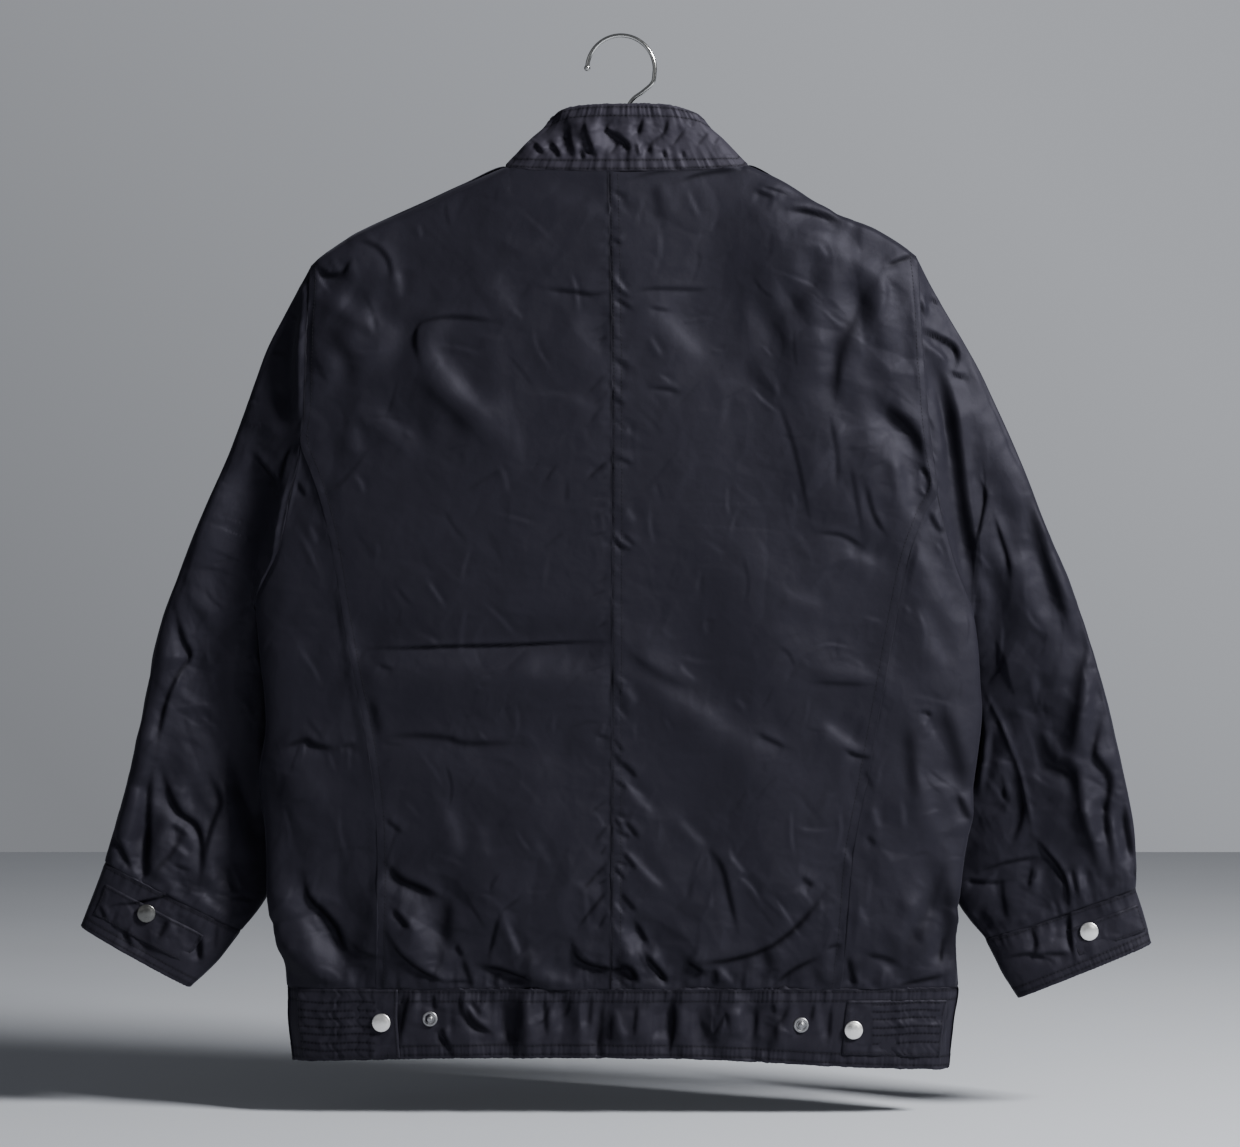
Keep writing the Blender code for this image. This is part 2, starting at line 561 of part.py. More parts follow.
def zip_grid():
    """The strip between the fronts, from the collar's top down to the hem."""
    collar_base = neck_place(neck_angle(CENTRE_FRONT_X), 1)[1]
    rows = [collar_base + COLLAR_HEIGHT * t for t in (1.0, 0.66, 0.33)]
    rows += spread(collar_base, WAIST_Z, ZIP_ROWS) + spread(WAIST_Z, ZIP_END_Z, 3)[1:]
    cols = [CENTRE_FRONT_X + x for x in (-ZIP_HALF, 0.0, ZIP_HALF)]
    return np.array([[(x, zip_depth(z), z) for x in cols] for z in rows])


def zip_depth(z):
    """How far the zip's surface stands in front of y = 0."""
    collar_base = neck_place(neck_angle(CENTRE_FRONT_X), 1)[1]
    if z <= collar_base:
        return body_depth(CENTRE_FRONT_X, z)
    rise = (z - collar_base) / COLLAR_HEIGHT
    return (1 - rise) * body_depth(CENTRE_FRONT_X, collar_base) + rise * COLLAR_TOP_DEPTH[1]


def outward_normals(grid, face):
    """Unit normals of a grid that faces the back (-1), the front (1) or all round (0)."""
    normals = np.cross(np.gradient(grid, axis=0), np.gradient(grid, axis=1))
    normals /= np.linalg.norm(normals, axis=2, keepdims=True)
    outward = np.array([0.0, face, 0.0]) if face else grid - grid.mean(axis=(0, 1))
    return normals if (normals * outward).sum() > 0 else -normals


def edge_steps(grid):
    """At each point of the border, the unit step into the sheet; zero inside."""
    steps = np.zeros_like(grid)
    for here, inside in (((0,), (1,)), ((-1,), (-2,))):
        run = grid[inside[0]] - grid[here[0]]
        steps[here[0]] += run / np.linalg.norm(run, axis=1, keepdims=True)
        run = grid[:, inside[0]] - grid[:, here[0]]
        steps[:, here[0]] += run / np.linalg.norm(run, axis=1, keepdims=True)
    return steps


def cloth_solid(name, grid, wall, material, face, lift=0.0):
    """A closed wall under a grid of outer points, with its rim mitred so that folds can meet."""
    normals = outward_normals(grid, face)
    steps = edge_steps(grid)
    outer = grid + steps * SEAM_GAP / 2 + normals * lift
    inner = outer - normals * wall + steps * wall
    bm = bmesh.new()
    rows, cols = grid.shape[:2]
    layers = []
    for points in (outer, inner):
        layers.append([[bm.verts.new(point) for point in line] for line in points])
        for row in range(rows - 1):
            for col in range(cols - 1):
                layer = layers[-1]
                bm.faces.new((layer[row][col], layer[row][col + 1],
                              layer[row + 1][col + 1], layer[row + 1][col]))
    borders = [border(layer) for layer in layers]
    count = len(borders[0])
    for index in range(count):
        after = (index + 1) % count
        bm.faces.new((borders[0][index], borders[0][after], borders[1][after], borders[1][index]))
    bmesh.ops.recalc_face_normals(bm, faces=bm.faces)
    return add_object(name, bm, material)


def border(layer):
    """The points round a layer's edge, in order."""
    top, bottom = layer[0], layer[-1][::-1]
    right = [line[-1] for line in layer[1:-1]]
    left = [line[0] for line in layer[-2:0:-1]]
    return top + right + bottom + left


def add_object(name, bm, material, smooth_angle=40):
    mesh = bpy.data.meshes.new(name)
    bm.to_mesh(mesh)
    bm.free()
    mesh.shade_smooth()
    mesh.set_sharp_from_angle(angle=radians(smooth_angle))
    mesh.materials.append(material)
    made = bpy.data.objects.new(name, mesh)
    bpy.context.collection.objects.link(made)
    return made


def add_material(name, colour, roughness, metallic):
    material = bpy.data.materials.new(name)
    material.use_nodes = True
    shader = material.node_tree.nodes["Principled BSDF"]
    shader.inputs["Base Color"].default_value = (*colour, 1.0)
    shader.inputs["Roughness"].default_value = roughness
    shader.inputs["Metallic"].default_value = metallic
    return material


def turned_piece(name, profile, place, facing, material, steps=16):
    """A round piece spun from rows of radius and height, standing on place along facing."""
    bm = bmesh.new()
    verts = [bm.verts.new((radius, 0.0, height)) for radius, height in profile]
    edges = [bm.edges.new(pair) for pair in zip(verts, verts[1:])]
    bmesh.ops.spin(bm, geom=verts + edges, cent=(0, 0, 0), axis=(0, 0, 1), angle=2 * pi, steps=steps,
                   use_merge=True)
    bmesh.ops.remove_doubles(bm, verts=bm.verts, dist=1e-6)
    bmesh.ops.recalc_face_normals(bm, faces=bm.faces)
    turn = Vector((0, 0, 1)).rotation_difference(Vector(facing)).to_matrix().to_4x4()
    bmesh.ops.transform(bm, matrix=Matrix.Translation(place) @ turn, verts=bm.verts)
    return add_object(name, bm, material)


CAP_PROFILE = [(0.0, 0.0), (CAP_RADIUS - 0.0006, 0.0), (CAP_RADIUS, 0.0006), (CAP_RADIUS - 0.0002, 0.0014),
               (CAP_RADIUS - 0.0012, 0.0021), (0.0042, 0.0026), (0.0, 0.0028)]
STUD_PROFILE = [(0.0, 0.0), (STUD_RADIUS - 0.0004, 0.0), (STUD_RADIUS, 0.0006),
                (STUD_RADIUS - 0.0006, 0.0013), (0.0046, 0.0016), (0.0036, 0.0013), (0.0030, 0.0007),
                (0.0024, 0.0010), (0.0020, 0.0028), (0.0012, 0.0032), (0.0, 0.0032)]


def refined(grid, steps=5):
    """The same surface with each cell split into smaller ones."""
    rows, cols = grid.shape[:2]
    down = np.linspace(0, rows - 1, (rows - 1) * steps + 1)
    over = np.linspace(0, cols - 1, (cols - 1) * steps + 1)
    tall = np.stack([[np.interp(down, range(rows), grid[:, col, axis]) for col in range(cols)]
                     for axis in range(3)], axis=-1)
    return np.stack([[np.interp(over, range(cols), tall[:, row, axis]) for row in range(len(down))]
                     for axis in range(3)], axis=-1)


def add_snap(name, profile, grid, x, z, rise, material):
    """A round piece over a back-facing grid at x and z, clear of the highest point under it."""
    fine = refined(grid)
    away = (fine[:, :, 0] - x) ** 2 + (fine[:, :, 2] - z) ** 2
    row, col = np.unravel_index(np.argmin(away), away.shape)
    reach = max(radius for radius, height in profile)
    near = away < (reach * 1.1) ** 2
    normal = outward_normals(fine, -1)[near].mean(axis=0)
    normal /= np.linalg.norm(normal)
    place = fine[row, col]
    rise += max(((fine[near] - place) @ normal).max(), 0.0)
    return turned_piece(name, profile, Vector(place + normal * rise), normal, material)


def add_cuff_tab(side, cloth, metal):
    """The cuff's tab, which lies on the back half from its outer fold, and its snap."""
    name = SIDE_NAMES[side.sign]
    cuff = cuff_grid(side, -1)
    first, last = CUFF_TAB_COLUMNS[side.sign]
    tab = cuff[1:4, first:last + 1]
    cloth_solid(f"cuff_tab_{name}", tab, TAB_WALL, cloth, -1, lift=LIE_GAP + TAB_WALL)
    x, z = CUFF_SNAPS[side.sign]
    add_snap(f"cuff_snap_{name}", CAP_PROFILE, cuff, x, z, 2 * LIE_GAP + TAB_WALL, metal)


def add_waistband(cloth, metal, stud):
    """The band in three stretches, with a tab, its snap and a free snap ring at each side."""
    back = band_grid(-1, band_edge(LEFT), band_edge(RIGHT), BAND_COLUMNS)
    cloth_solid("waist_back", back, BAND_WALL, cloth, -1)
    for side in (LEFT, RIGHT):
        name = SIDE_NAMES[side.sign]
        zip_edge = CENTRE_FRONT_X + side.sign * ZIP_HALF
        front = band_grid(1, lambda share: zip_edge, band_edge(side), FRONT_BAND_COLUMNS)
        cloth_solid(f"waist_front_{name}", front, BAND_WALL, cloth, 1)
        columns = slice(1, WAIST_TAB_COLUMNS + 1) if side.sign < 0 else slice(-WAIST_TAB_COLUMNS - 1, -1)
        tab = back[:, columns] if side.sign < 0 else back[1:-1, columns]
        cloth_solid(f"waist_tab_{name}", tab, TAB_WALL, cloth, -1, lift=LIE_GAP + TAB_WALL)
        x, z = WAIST_SNAPS[side.sign]
        add_snap(f"waist_snap_{name}", CAP_PROFILE, back, x, z, 2 * LIE_GAP + TAB_WALL, metal)
        x, z = WAIST_STUDS[side.sign]
        add_snap(f"waist_stud_{name}", STUD_PROFILE, back, x, z, LIE_GAP, stud)


CROOK_ANGLES = radians(178), radians(-2)
HOOK_NECK = [Place(0.0258, -0.0365), Place(0.0180, -0.0440), Place(0.0105, -0.0495), Place(0.0060, -0.0560),
             Place(0.0050, -0.0640)]
BALL_RADII = 0.9, 1.45     # the wire's knobbed tip, as shares of its radius


def add_hook(material):
    """Bent wire: a round crook, the return under it and the stem down to the hanger."""
    middle = Vector((0.0, -(HOOK_RADIUS - WIRE_RADIUS)))
    points = [middle + HOOK_RADIUS * Vector((cos(angle), sin(angle))) for angle in spread(*CROOK_ANGLES, 18)]
    neck = Line([Place(*points[-1])] + HOOK_NECK)
    points += [Vector(neck.at(t)) for t in spread(0, 1, 9)[1:]]
    points.append(Vector((HOOK_NECK[-1].x, ARM_CENTRE_TOP + LIE_GAP)))
    curve = bpy.data.curves.new("hanger_hook", "CURVE")
    curve.dimensions = "3D"
    curve.bevel_depth = WIRE_RADIUS
    curve.bevel_resolution = 3
    curve.use_fill_caps = True
    spline = curve.splines.new("POLY")
    spline.points.add(len(points) - 1)
    for index, (point, place) in enumerate(zip(spline.points, points)):
        point.co = (place[0], 0.0, place[1], 1.0)
        point.radius = BALL_RADII[index] if index < len(BALL_RADII) else 1.0
    made = bpy.data.objects.new("hanger_hook", curve)
    curve.materials.append(material)
    bpy.context.collection.objects.link(made)
    return made


def arm_top(x):
    """Height of the hanger's upper edge, which follows the shoulders and rounds off at the middle."""
    ridge = float(np.interp(x, RIDGE[:, 0], RIDGE[:, 1])) - WALL - ARM_CLEARANCE
    away = abs(x - NECK_CENTRE_X)
    ridge -= ARM_NECK_DIP * exp(-((away - ARM_CENTRE_REACH) / ARM_DIP_REACH) ** 2)
    return min(ridge, ARM_CENTRE_TOP - ARM_CENTRE_FALL * (away / ARM_CENTRE_REACH) ** 2)


def add_arms(material):
    """A flat bar with rounded edges, lofted along the shoulders."""
    half, deep = ARM_THICK / 2, ARM_DEEP
    outline = [(-half, -0.004), (-half * 0.55, -0.0008), (0.0, 0.0), (half * 0.55, -0.0008), (half, -0.004),
               (half, -deep + 0.003), (half * 0.5, -deep), (-half * 0.5, -deep), (-half, -deep + 0.003)]
    bm = bmesh.new()
    loops = []
    for x in spread(ARM_CENTRE_X - ARM_REACH, ARM_CENTRE_X + ARM_REACH, 28):
        inward = min((ARM_REACH - abs(x - ARM_CENTRE_X)) / ARM_TAPER, 1.0)
        slim = ARM_END_SHARE + (1 - ARM_END_SHARE) * sqrt(max(inward, 0.0))
        top = arm_top(x)
        loops.append([bm.verts.new((x, y * slim, top + z * slim)) for y, z in outline])
    for first, second in zip(loops, loops[1:]):
        for index in range(len(outline)):
            after = (index + 1) % len(outline)
            bm.faces.new((first[index], first[after], second[after], second[index]))
    bm.faces.new(loops[0])
    bm.faces.new(loops[-1][::-1])
    bmesh.ops.recalc_face_normals(bm, faces=bm.faces)
    return add_object("hanger_arms", bm, material)


def add_slider(material):
    """The zip's slider: a block with two cheeks that hold the pull."""
    face = zip_depth(SLIDER_Z) + SLIDER_GAP
    wide, thick, tall = SLIDER_SIZE
    bm = bmesh.new()
    middle = Matrix.Translation((CENTRE_FRONT_X, face + thick / 2, SLIDER_Z))
    bmesh.ops.create_cube(bm, size=1.0, matrix=middle @ Matrix.Diagonal((wide, thick, tall, 1)))
    cuts = [((CENTRE_FRONT_X + CHEEK_INNER * sign, 0, 0), (1, 0, 0)) for sign in (-1, 1)]
    cuts += [((0, 0, SLIDER_Z + height), (0, 0, 1)) for height in (CHEEK_BOTTOM, CHEEK_TOP)]
    for place, across in cuts:
        geometry = bm.verts[:] + bm.edges[:] + bm.faces[:]
        bmesh.ops.bisect_plane(bm, geom=geometry, plane_co=place, plane_no=across)
    for sign in (-1, 1):
        picked = [f for f in bm.faces if f.normal.y > 0.9
                  and (f.calc_center_median().x - CENTRE_FRONT_X) * sign > CHEEK_INNER
                  and CHEEK_BOTTOM < f.calc_center_median().z - SLIDER_Z < CHEEK_TOP]
        grown = bmesh.ops.extrude_face_region(bm, geom=picked)
        moved = [v for v in grown["geom"] if isinstance(v, bmesh.types.BMVert)]
        bmesh.ops.translate(bm, vec=(0, CHEEK_RISE, 0), verts=moved)
        bmesh.ops.delete(bm, geom=picked, context="FACES")
    bmesh.ops.recalc_face_normals(bm, faces=bm.faces)
    return add_object("zip_slider", bm, material, smooth_angle=20)


def add_pull(material):
    """The pull tab, hanging from its pivot between the slider's cheeks."""
    rise = SLIDER_GAP + SLIDER_SIZE[1] + PULL_PIVOT_RISE
    pivot = Vector((CENTRE_FRONT_X, zip_depth(SLIDER_Z) + rise, SLIDER_Z + PIVOT_Z))
    bm = bmesh.new()
    half, end = PULL_WIDTH / 2, PULL_END_WIDTH / 2
    neck, foot = PULL_WIDENS
    outline = [(-half, PULL_HEAD), (half, PULL_HEAD), (half, neck), (end, foot)]
    outline += [(end * cos(angle), end - PULL_LENGTH - end * sin(angle)) for angle in spread(0, pi, 8)]
    outline += [(-end, foot), (-half, neck)]
    verts = [bm.verts.new((x, -PULL_WALL / 2, z)) for x, z in outline]
    face = bm.faces.new(verts)
    grown = bmesh.ops.extrude_face_region(bm, geom=[face])
    moved = [v for v in grown["geom"] if isinstance(v, bmesh.types.BMVert)]
    bmesh.ops.translate(bm, vec=(0, PULL_WALL, 0), verts=moved)
    bmesh.ops.recalc_face_normals(bm, faces=bm.faces)
    made = add_object("zip_pull", bm, material, smooth_angle=30)
    made.location = pivot
    return made


def main():
    for old in list(bpy.data.objects):
        bpy.data.objects.remove(old, do_unlink=True)
    shell = add_material("shell_cloth", SHELL_COLOUR, 0.42, 0.0)
    band = add_material("band_cloth", BAND_COLOUR, 0.5, 0.0)
    snap = add_material("snap_metal", SNAP_COLOUR, 0.35, 1.0)
    stud = add_material("stud_metal", STUD_COLOUR, 0.35, 1.0)
    tape = add_material("zip_tape", ZIP_COLOUR, 0.7, 0.0)
    metal = add_material("zip_metal", ZIP_METAL_COLOUR, 0.35, 1.0)
    chrome = add_material("hook_chrome", CHROME_COLOUR, 0.18, 1.0)
    plastic = add_material("hanger_plastic", ARM_COLOUR, 0.5, 0.0)

    for side in (LEFT, RIGHT):
        name = SIDE_NAMES[side.sign]
        cloth_solid(f"back_{name}", back_grid(side), WALL, shell, -1)
        cloth_solid(f"side_{name}", side_grid(side), WALL, shell, -1)
        cloth_solid(f"front_{name}", front_grid(side), WALL, shell, 1)
        for face in (-1, 1):
            half = FACE_NAMES[face]
            cloth_solid(f"sleeve_{name}_{half}", sleeve_grid(side, face), WALL, shell, face)
            cloth_solid(f"cuff_{name}_{half}", cuff_grid(side, face), BAND_WALL, band, face)
        add_cuff_tab(side, band, snap)
    add_waistband(band, snap, stud)
    cloth_solid("collar", collar_grid(), BAND_WALL, band, 0)

    cloth_solid("zip_tape", zip_grid(), ZIP_WALL, tape, 1)
    add_slider(metal)
    add_pull(metal)
    add_arms(plastic)
    add_hook(chrome)


main()
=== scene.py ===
import math

import bmesh
import bpy
import numpy as np
from mathutils import Matrix, Vector, geometry, noise
from mathutils.bvhtree import BVHTree


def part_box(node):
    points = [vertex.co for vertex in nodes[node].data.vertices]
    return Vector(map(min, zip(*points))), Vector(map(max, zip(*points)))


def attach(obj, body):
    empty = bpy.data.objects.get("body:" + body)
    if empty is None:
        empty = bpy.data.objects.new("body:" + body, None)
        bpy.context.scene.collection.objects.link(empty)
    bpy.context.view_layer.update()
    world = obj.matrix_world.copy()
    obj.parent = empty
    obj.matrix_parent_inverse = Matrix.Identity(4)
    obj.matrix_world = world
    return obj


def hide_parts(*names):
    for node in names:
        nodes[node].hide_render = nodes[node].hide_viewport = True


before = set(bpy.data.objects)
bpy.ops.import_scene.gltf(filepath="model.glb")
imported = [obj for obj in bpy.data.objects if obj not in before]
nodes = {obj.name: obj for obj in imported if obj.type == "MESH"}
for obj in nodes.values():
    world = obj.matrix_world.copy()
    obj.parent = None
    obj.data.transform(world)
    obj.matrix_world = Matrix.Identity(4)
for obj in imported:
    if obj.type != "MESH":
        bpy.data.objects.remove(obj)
noise.seed_set(2)       # else the drift of the crumple is another one in every run
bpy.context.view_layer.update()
sides = ("left", "right")


def say(text):
    print("jacket:", text)


# Creases, one to a bracket: width and depth, skew, then the bends that it runs through as x, z, all in mm.
# Where depth is above 0 the fold's face falls to the upper right and is bright, and below 0 it is dark.
backCreases = [
    (55, -5.0, 0, 60, -170, 130, -230), (60, -4.0, 0, -100, -600, -110, -720),
    (60, 3.0, 0, -200, -200, -90, -180), (9, 3.2, 0, 237, -406, 258, -448, 278, -487),
    (8, 2.6, 0, 243, -458, 252, -488, 261, -515), (9, -4.0, 0, 258, -539, 270, -578, 281, -614),
    (9, 3.0, 0, 237, -585, 250, -622, 261, -654), (8, -3.4, 0, 231, -555, 234, -590, 238, -622),
    (9, -4.4, 0, 261, -677, 268, -722, 272, -764), (8, 2.8, 0, 246, -690, 250, -725, 252, -760),
    (8, 2.6, 0, 262, -300, 268, -350, 272, -390),
    (48, -8.0, 0, 85, -80, 110, -170, 138, -270, 150, -380, 140, -470),
    (55, -7.0, 0, 215, -350, 218, -470, 208, -600, 190, -750),
    (60, -6.5, 0, 55, -370, 80, -480, 95, -600, 105, -750), (34, 3.4, 0, -185, -150, -200, -230, -215, -310),
    (34, 3.0, 0, -240, -420, -262, -520, -265, -600),
    (4.5, -4.5, 0, -246, -188, -237, -194, -225, -192, -218, -181),
    (7, 2.0, 0, -240, -179, -227, -176, -215, -173),
    (3.5, -1.6, 0, -215, -166, -200, -170, -189, -182, -186, -200),
    (6, 2.2, 0, -183, -188, -179, -200, -179, -215), (8, -1.6, 0, -245, -218, -221, -233, -191, -247),
    (11, 1.8, 0, -246, -203, -215, -221, -188, -236, -167, -254),
    (9, 2.6, 0, -234, -242, -230, -272, -248, -305), (11, -2.2, 0, -242, -230, -222, -257, -215, -290),
    (3.5, -2.6, 0, -162, -268, -167, -248, -164, -235, -152, -230, -131, -229, -98, -233),
    (10, 3.6, 0.2, -159, -245, -140, -275, -119, -299, -101, -316),
    (9, -1.6, 0, -167, -278, -137, -305, -116, -326), (9, 2.2, 0, -206, -299, -182, -317, -156, -334),
    (7, 1.8, 0, -215, -314, -210, -341), (4, 1.2, 0, -255, -329, -252, -340),
    (4, 1.3, 0, -245, -362, -238, -380), (4, 1.3, 0, -252, -395, -245, -413),
    (4, -1.6, 0, -263, -362, -255, -374), (3.5, -2.2, 0, -62, -206, -35, -209, -23, -211, -10, -208),
    (3.5, -2.2, 0, -9, -344, -20, -353, -30, -363), (3, -1.4, 0, -52, -348, -63, -364),
    (4, -1.2, 0, -11, -274, -29, -293), (4, -1.0, 0, -14, -299, -27, -317),
    (5, -1.0, 0, -92, -350, -113, -362, -131, -374), (4, -1.0, 0, -45, -401, -65, -418),
    (12, 1.4, 0, -38, -224, -23, -248, -11, -266), (14, 1.5, 0, -155, -194, -137, -173, -119, -158),
    (10, 1.4, 0, -101, -188, -92, -212, -77, -224), (4, 1.2, 0, -101, -95, -86, -104),
    (9, 1.2, 0, -65, -131, -26, -134, -11, -143), (7, 1.1, 0, -68, -299, -41, -293, -17, -305),
    (4, -2.8, 0, 4, -118, 29, -111, 69, -108, 106, -110), (5, -3.0, 0, 43, -121, 66, -112, 100, -108),
    (7, -1.6, 0, 26, -119, 30, -134, 33, -153), (5, -2.2, 0, 108, -126, 125, -133),
    (5, -3.6, 0, 134, -142, 153, -144, 181, -152), (6, 2.6, 0, 125, -134, 150, -135, 181, -144),
    (9, 2.4, 0, 134, -153, 165, -159, 190, -175), (3.5, -1.6, 0, 10, -209, 26, -206, 60, -206, 74, -205),
    (3, -1.2, 0, 23, -221, 40, -224), (8, -3.0, 0.2, 164, -195, 153, -209, 134, -227, 117, -244),
    (9, 1.6, 0, 181, -193, 165, -218, 153, -231), (8, -4.4, 0.3, 197, -218, 182, -243, 173, -277, 172, -306),
    (10, 2.2, 0, 202, -243, 193, -268, 190, -289), (8, 2.6, 0, 171, -169, 198, -184, 210, -200),
    (5, -4.4, 0, 213, -188, 230, -181, 241, -177), (6, 3.4, 0, 212, -190, 215, -210, 208, -231, 196, -249),
    (4, 2.8, 0.2, 236, -190, 240, -231, 245, -268, 244, -308),
    (7, -5.0, 0.3, 211, -301, 230, -314, 240, -330, 243, -346), (8, 2.6, 0, 221, -333, 229, -367, 237, -401),
    (7, -1.6, 0, 215, -342, 219, -373), (3, -2.4, 0, 236, -355, 244, -351, 249, -361, 246, -373, 240, -370),
    (4, 1.4, 0, -4, -283, 7, -278), (3.5, 1.5, 0, -2, -333, 13, -320, 26, -309),
    (3, -1.7, 0, 23, -286, 37, -287, 48, -290), (3, -1.4, 0, -5, -342, 10, -348),
    (10, 1.7, 0, 29, -218, 50, -243, 71, -265), (5, 1.3, 0, 37, -285, 50, -271, 64, -258),
    (5, 1.2, 0, 82, -317, 86, -299, 92, -283), (5, 1.1, 0, 80, -231, 89, -215, 97, -201),
    (6, 1.1, 0, 60, -342, 44, -379), (5, 1.3, 0, 4, -382, 12, -395), (3, -1.2, 0, 1, -404, 12, -414),
    (8, -1.0, 0, 97, -262, 128, -299), (3, -1.0, 0, 126, -293, 140, -336, 153, -398),
    (3, -1.1, 0, 168, -308, 174, -339, 175, -367), (3, -1.0, 0, 185, -348, 195, -404),
    (3.5, -1.7, 0, 196, -361, 204, -389, 215, -406), (3.5, -1.6, 0, 157, -403, 178, -405, 196, -415),
    (7, 1.8, 0, 178, -415, 209, -430), (7, 1.2, 0, 128, -447, 168, -463),
    (4, -1.7, 0, 247, -384, 258, -401, 267, -395), (3, -1.4, 0, 140, -131, 112, -122),
    (2.6, -3.4, 0, -210, -503, -203, -497, -173, -496, -140, -495, -95, -494, -50, -492, -10, -491),
    (9, 1.7, 0, -200, -510, -140, -507, -80, -506, -11, -503), (4, -1.3, 0, -197, -509, -183, -514),
    (7, -2.2, 0.2, -204, -537, -199, -551, -196, -569),
    (6, -2.4, 0, -194, -569, -167, -567, -140, -569, -125, -573, -80, -573),
    (3, -1.4, 0, -20, -566, -8, -569),
    (5, -4.0, 0, -277, -578, -263, -573, -255, -571, -247, -575, -230, -578),
    (3.5, -2.4, 0, -228, -576, -214, -574), (16, -4.0, 0, -296, -586, -278, -604, -275, -628),
    (12, 1.6, 0, -263, -589, -239, -613, -245, -637), (14, 1.6, 0, -287, -476, -263, -494, -251, -512),
    (6, -4.0, 0, -257, -679, -254, -697, -240, -712, -231, -723, -225, -739, -216, -746),
    (12, 4.2, 0, -275, -667, -263, -706, -240, -742, -222, -766), (7, 2.0, 0, -275, -715, -260, -745),
    (4, -2.0, 0, -221, -735, -209, -743, -191, -747), (5, 1.3, 0, -218, -693, -198, -672),
    (5, 1.2, 0, -248, -672, -243, -655), (4, -1.5, 0, -191, -634, -176, -646),
    (6, -4.2, 0, -191, -670, -179, -682, -162, -690, -145, -698),
    (8, -3.0, 0.2, -139, -694, -141, -721, -140, -744), (11, 4.2, 0, -165, -702, -155, -727, -143, -753),
    (4, -2.6, 0, -185, -706, -170, -723), (4, -3.4, 0, -189, -727, -179, -742, -161, -757, -138, -768),
    (7, 1.6, 0, -143, -619, -132, -643, -130, -669), (8, 1.4, 0, -113, -637, -107, -667),
    (6, 1.2, 0, -68, -649, -56, -673), (4, -2.0, 0, -98, -711, -107, -745),
    (4, 2.4, 0, -93, -715, -81, -745), (3, -1.6, 0, -81, -697, -98, -710),
    (5, -4.4, 0, -116, -753, -95, -757, -69, -766), (3, -2.0, 0, -143, -766, -120, -766),
    (5, -4.2, 0, -40, -732, -36, -745, -23, -753, 4, -757, 15, -761),
    (4, -2.4, 0, -9, -667, -20, -679, -33, -693), (4, -2.4, 0, -10, -690, -23, -706, -36, -723),
    (4, -1.6, 0, -9, -637, -23, -654), (5, 1.6, 0, -17, -673, -29, -688),
    (4, -1.6, 0, -134, -736, -127, -746), (7, 2.2, 0, -65, -759, -35, -766),
    (8, 2.6, 0, -77, -736, -65, -753), (7, -1.7, 0.2, 3, -498, 29, -517, 60, -530),
    (15, 2.6, 0, 10, -517, 47, -535, 91, -563, 140, -594), (6, 1.8, 0, 3, -526, 14, -542),
    (4, -1.6, 0, 109, -565, 134, -577), (9, 2.2, 0, 153, -511, 184, -513, 209, -518),
    (5, -1.6, 0, 153, -524, 202, -526), (3.5, -2.4, 0, 180, -578, 191, -583, 204, -585),
    (7, 2.2, 0, 162, -554, 181, -570, 195, -576), (3, -2.0, 0, 240, -548, 247, -548, 251, -552),
    (5, 1.8, 0, 246, -554, 251, -567), (4, -1.8, 0, 0, -587, 14, -602),
    (6, 1.8, 0, 2, -603, 16, -619, 31, -633), (4, -2.0, 0, 2, -634, 15, -650),
    (5, 1.7, 0, 0, -656, 16, -672, 38, -693), (4, -1.8, 0, 1, -661, 13, -675),
    (4, -1.6, 0, -1, -693, 13, -709), (5, -1.9, 0, 68, -656, 81, -672, 88, -699, 94, -725),
    (6, 1.5, 0, 44, -631, 71, -659), (6, 1.2, 0, 116, -650, 128, -634),
    (6, -3.4, 0, 167, -690, 142, -721, 116, -740, 85, -749, 56, -750),
    (9, 2.8, 0, 156, -685, 131, -715, 103, -737), (6, -4.4, 0, 51, -748, 60, -754, 68, -760),
    (5, -4.4, 0, 18, -742, 29, -755, 39, -768), (6, -4.2, 0, -5, -751, 7, -755, 15, -768),
    (7, 3.2, 0, -1, -715, 9, -734, 18, -747), (4, -2.0, 0, 11, -717, 23, -737),
    (4, 1.8, 0, 81, -755, 91, -768), (4, -2.2, 0, 75, -755, 78, -768),
    (5, -3.2, 0, 124, -769, 140, -756, 160, -746), (5, -3.0, 0, 183, -744, 187, -760, 191, -771),
    (4, -1.8, 0, 165, -740, 171, -737, 179, -736), (4, -1.8, 0, 196, -743, 215, -747, 225, -753),
    (5, -3.0, 0, 219, -771, 246, -765, 265, -761), (3.5, -2.0, 0, 174, -771, 204, -774),
    (6, -3.2, 0, 271, -613, 279, -631, 283, -639), (8, 2.0, 0, 253, -591, 269, -613, 278, -627),
    (9, -3.2, 0.2, 261, -662, 252, -706, 235, -735, 219, -752), (8, 3.2, 0, 247, -690, 235, -721, 225, -747),
    (5, -2.6, 0, 265, -727, 258, -754), (4, 1.3, 0, 193, -703, 197, -718),
    (4, -1.8, 0, 197, -594, 203, -611), (5, 1.5, 0, 204, -622, 209, -644),
    (4, -1.5, 0, 198, -647, 206, -656), (4, 1.8, 0, 181, -656, 187, -672),
    (5, -1.8, 0, 145, -681, 156, -689), (3, 1.2, 0, 227, -619, 229, -644)]
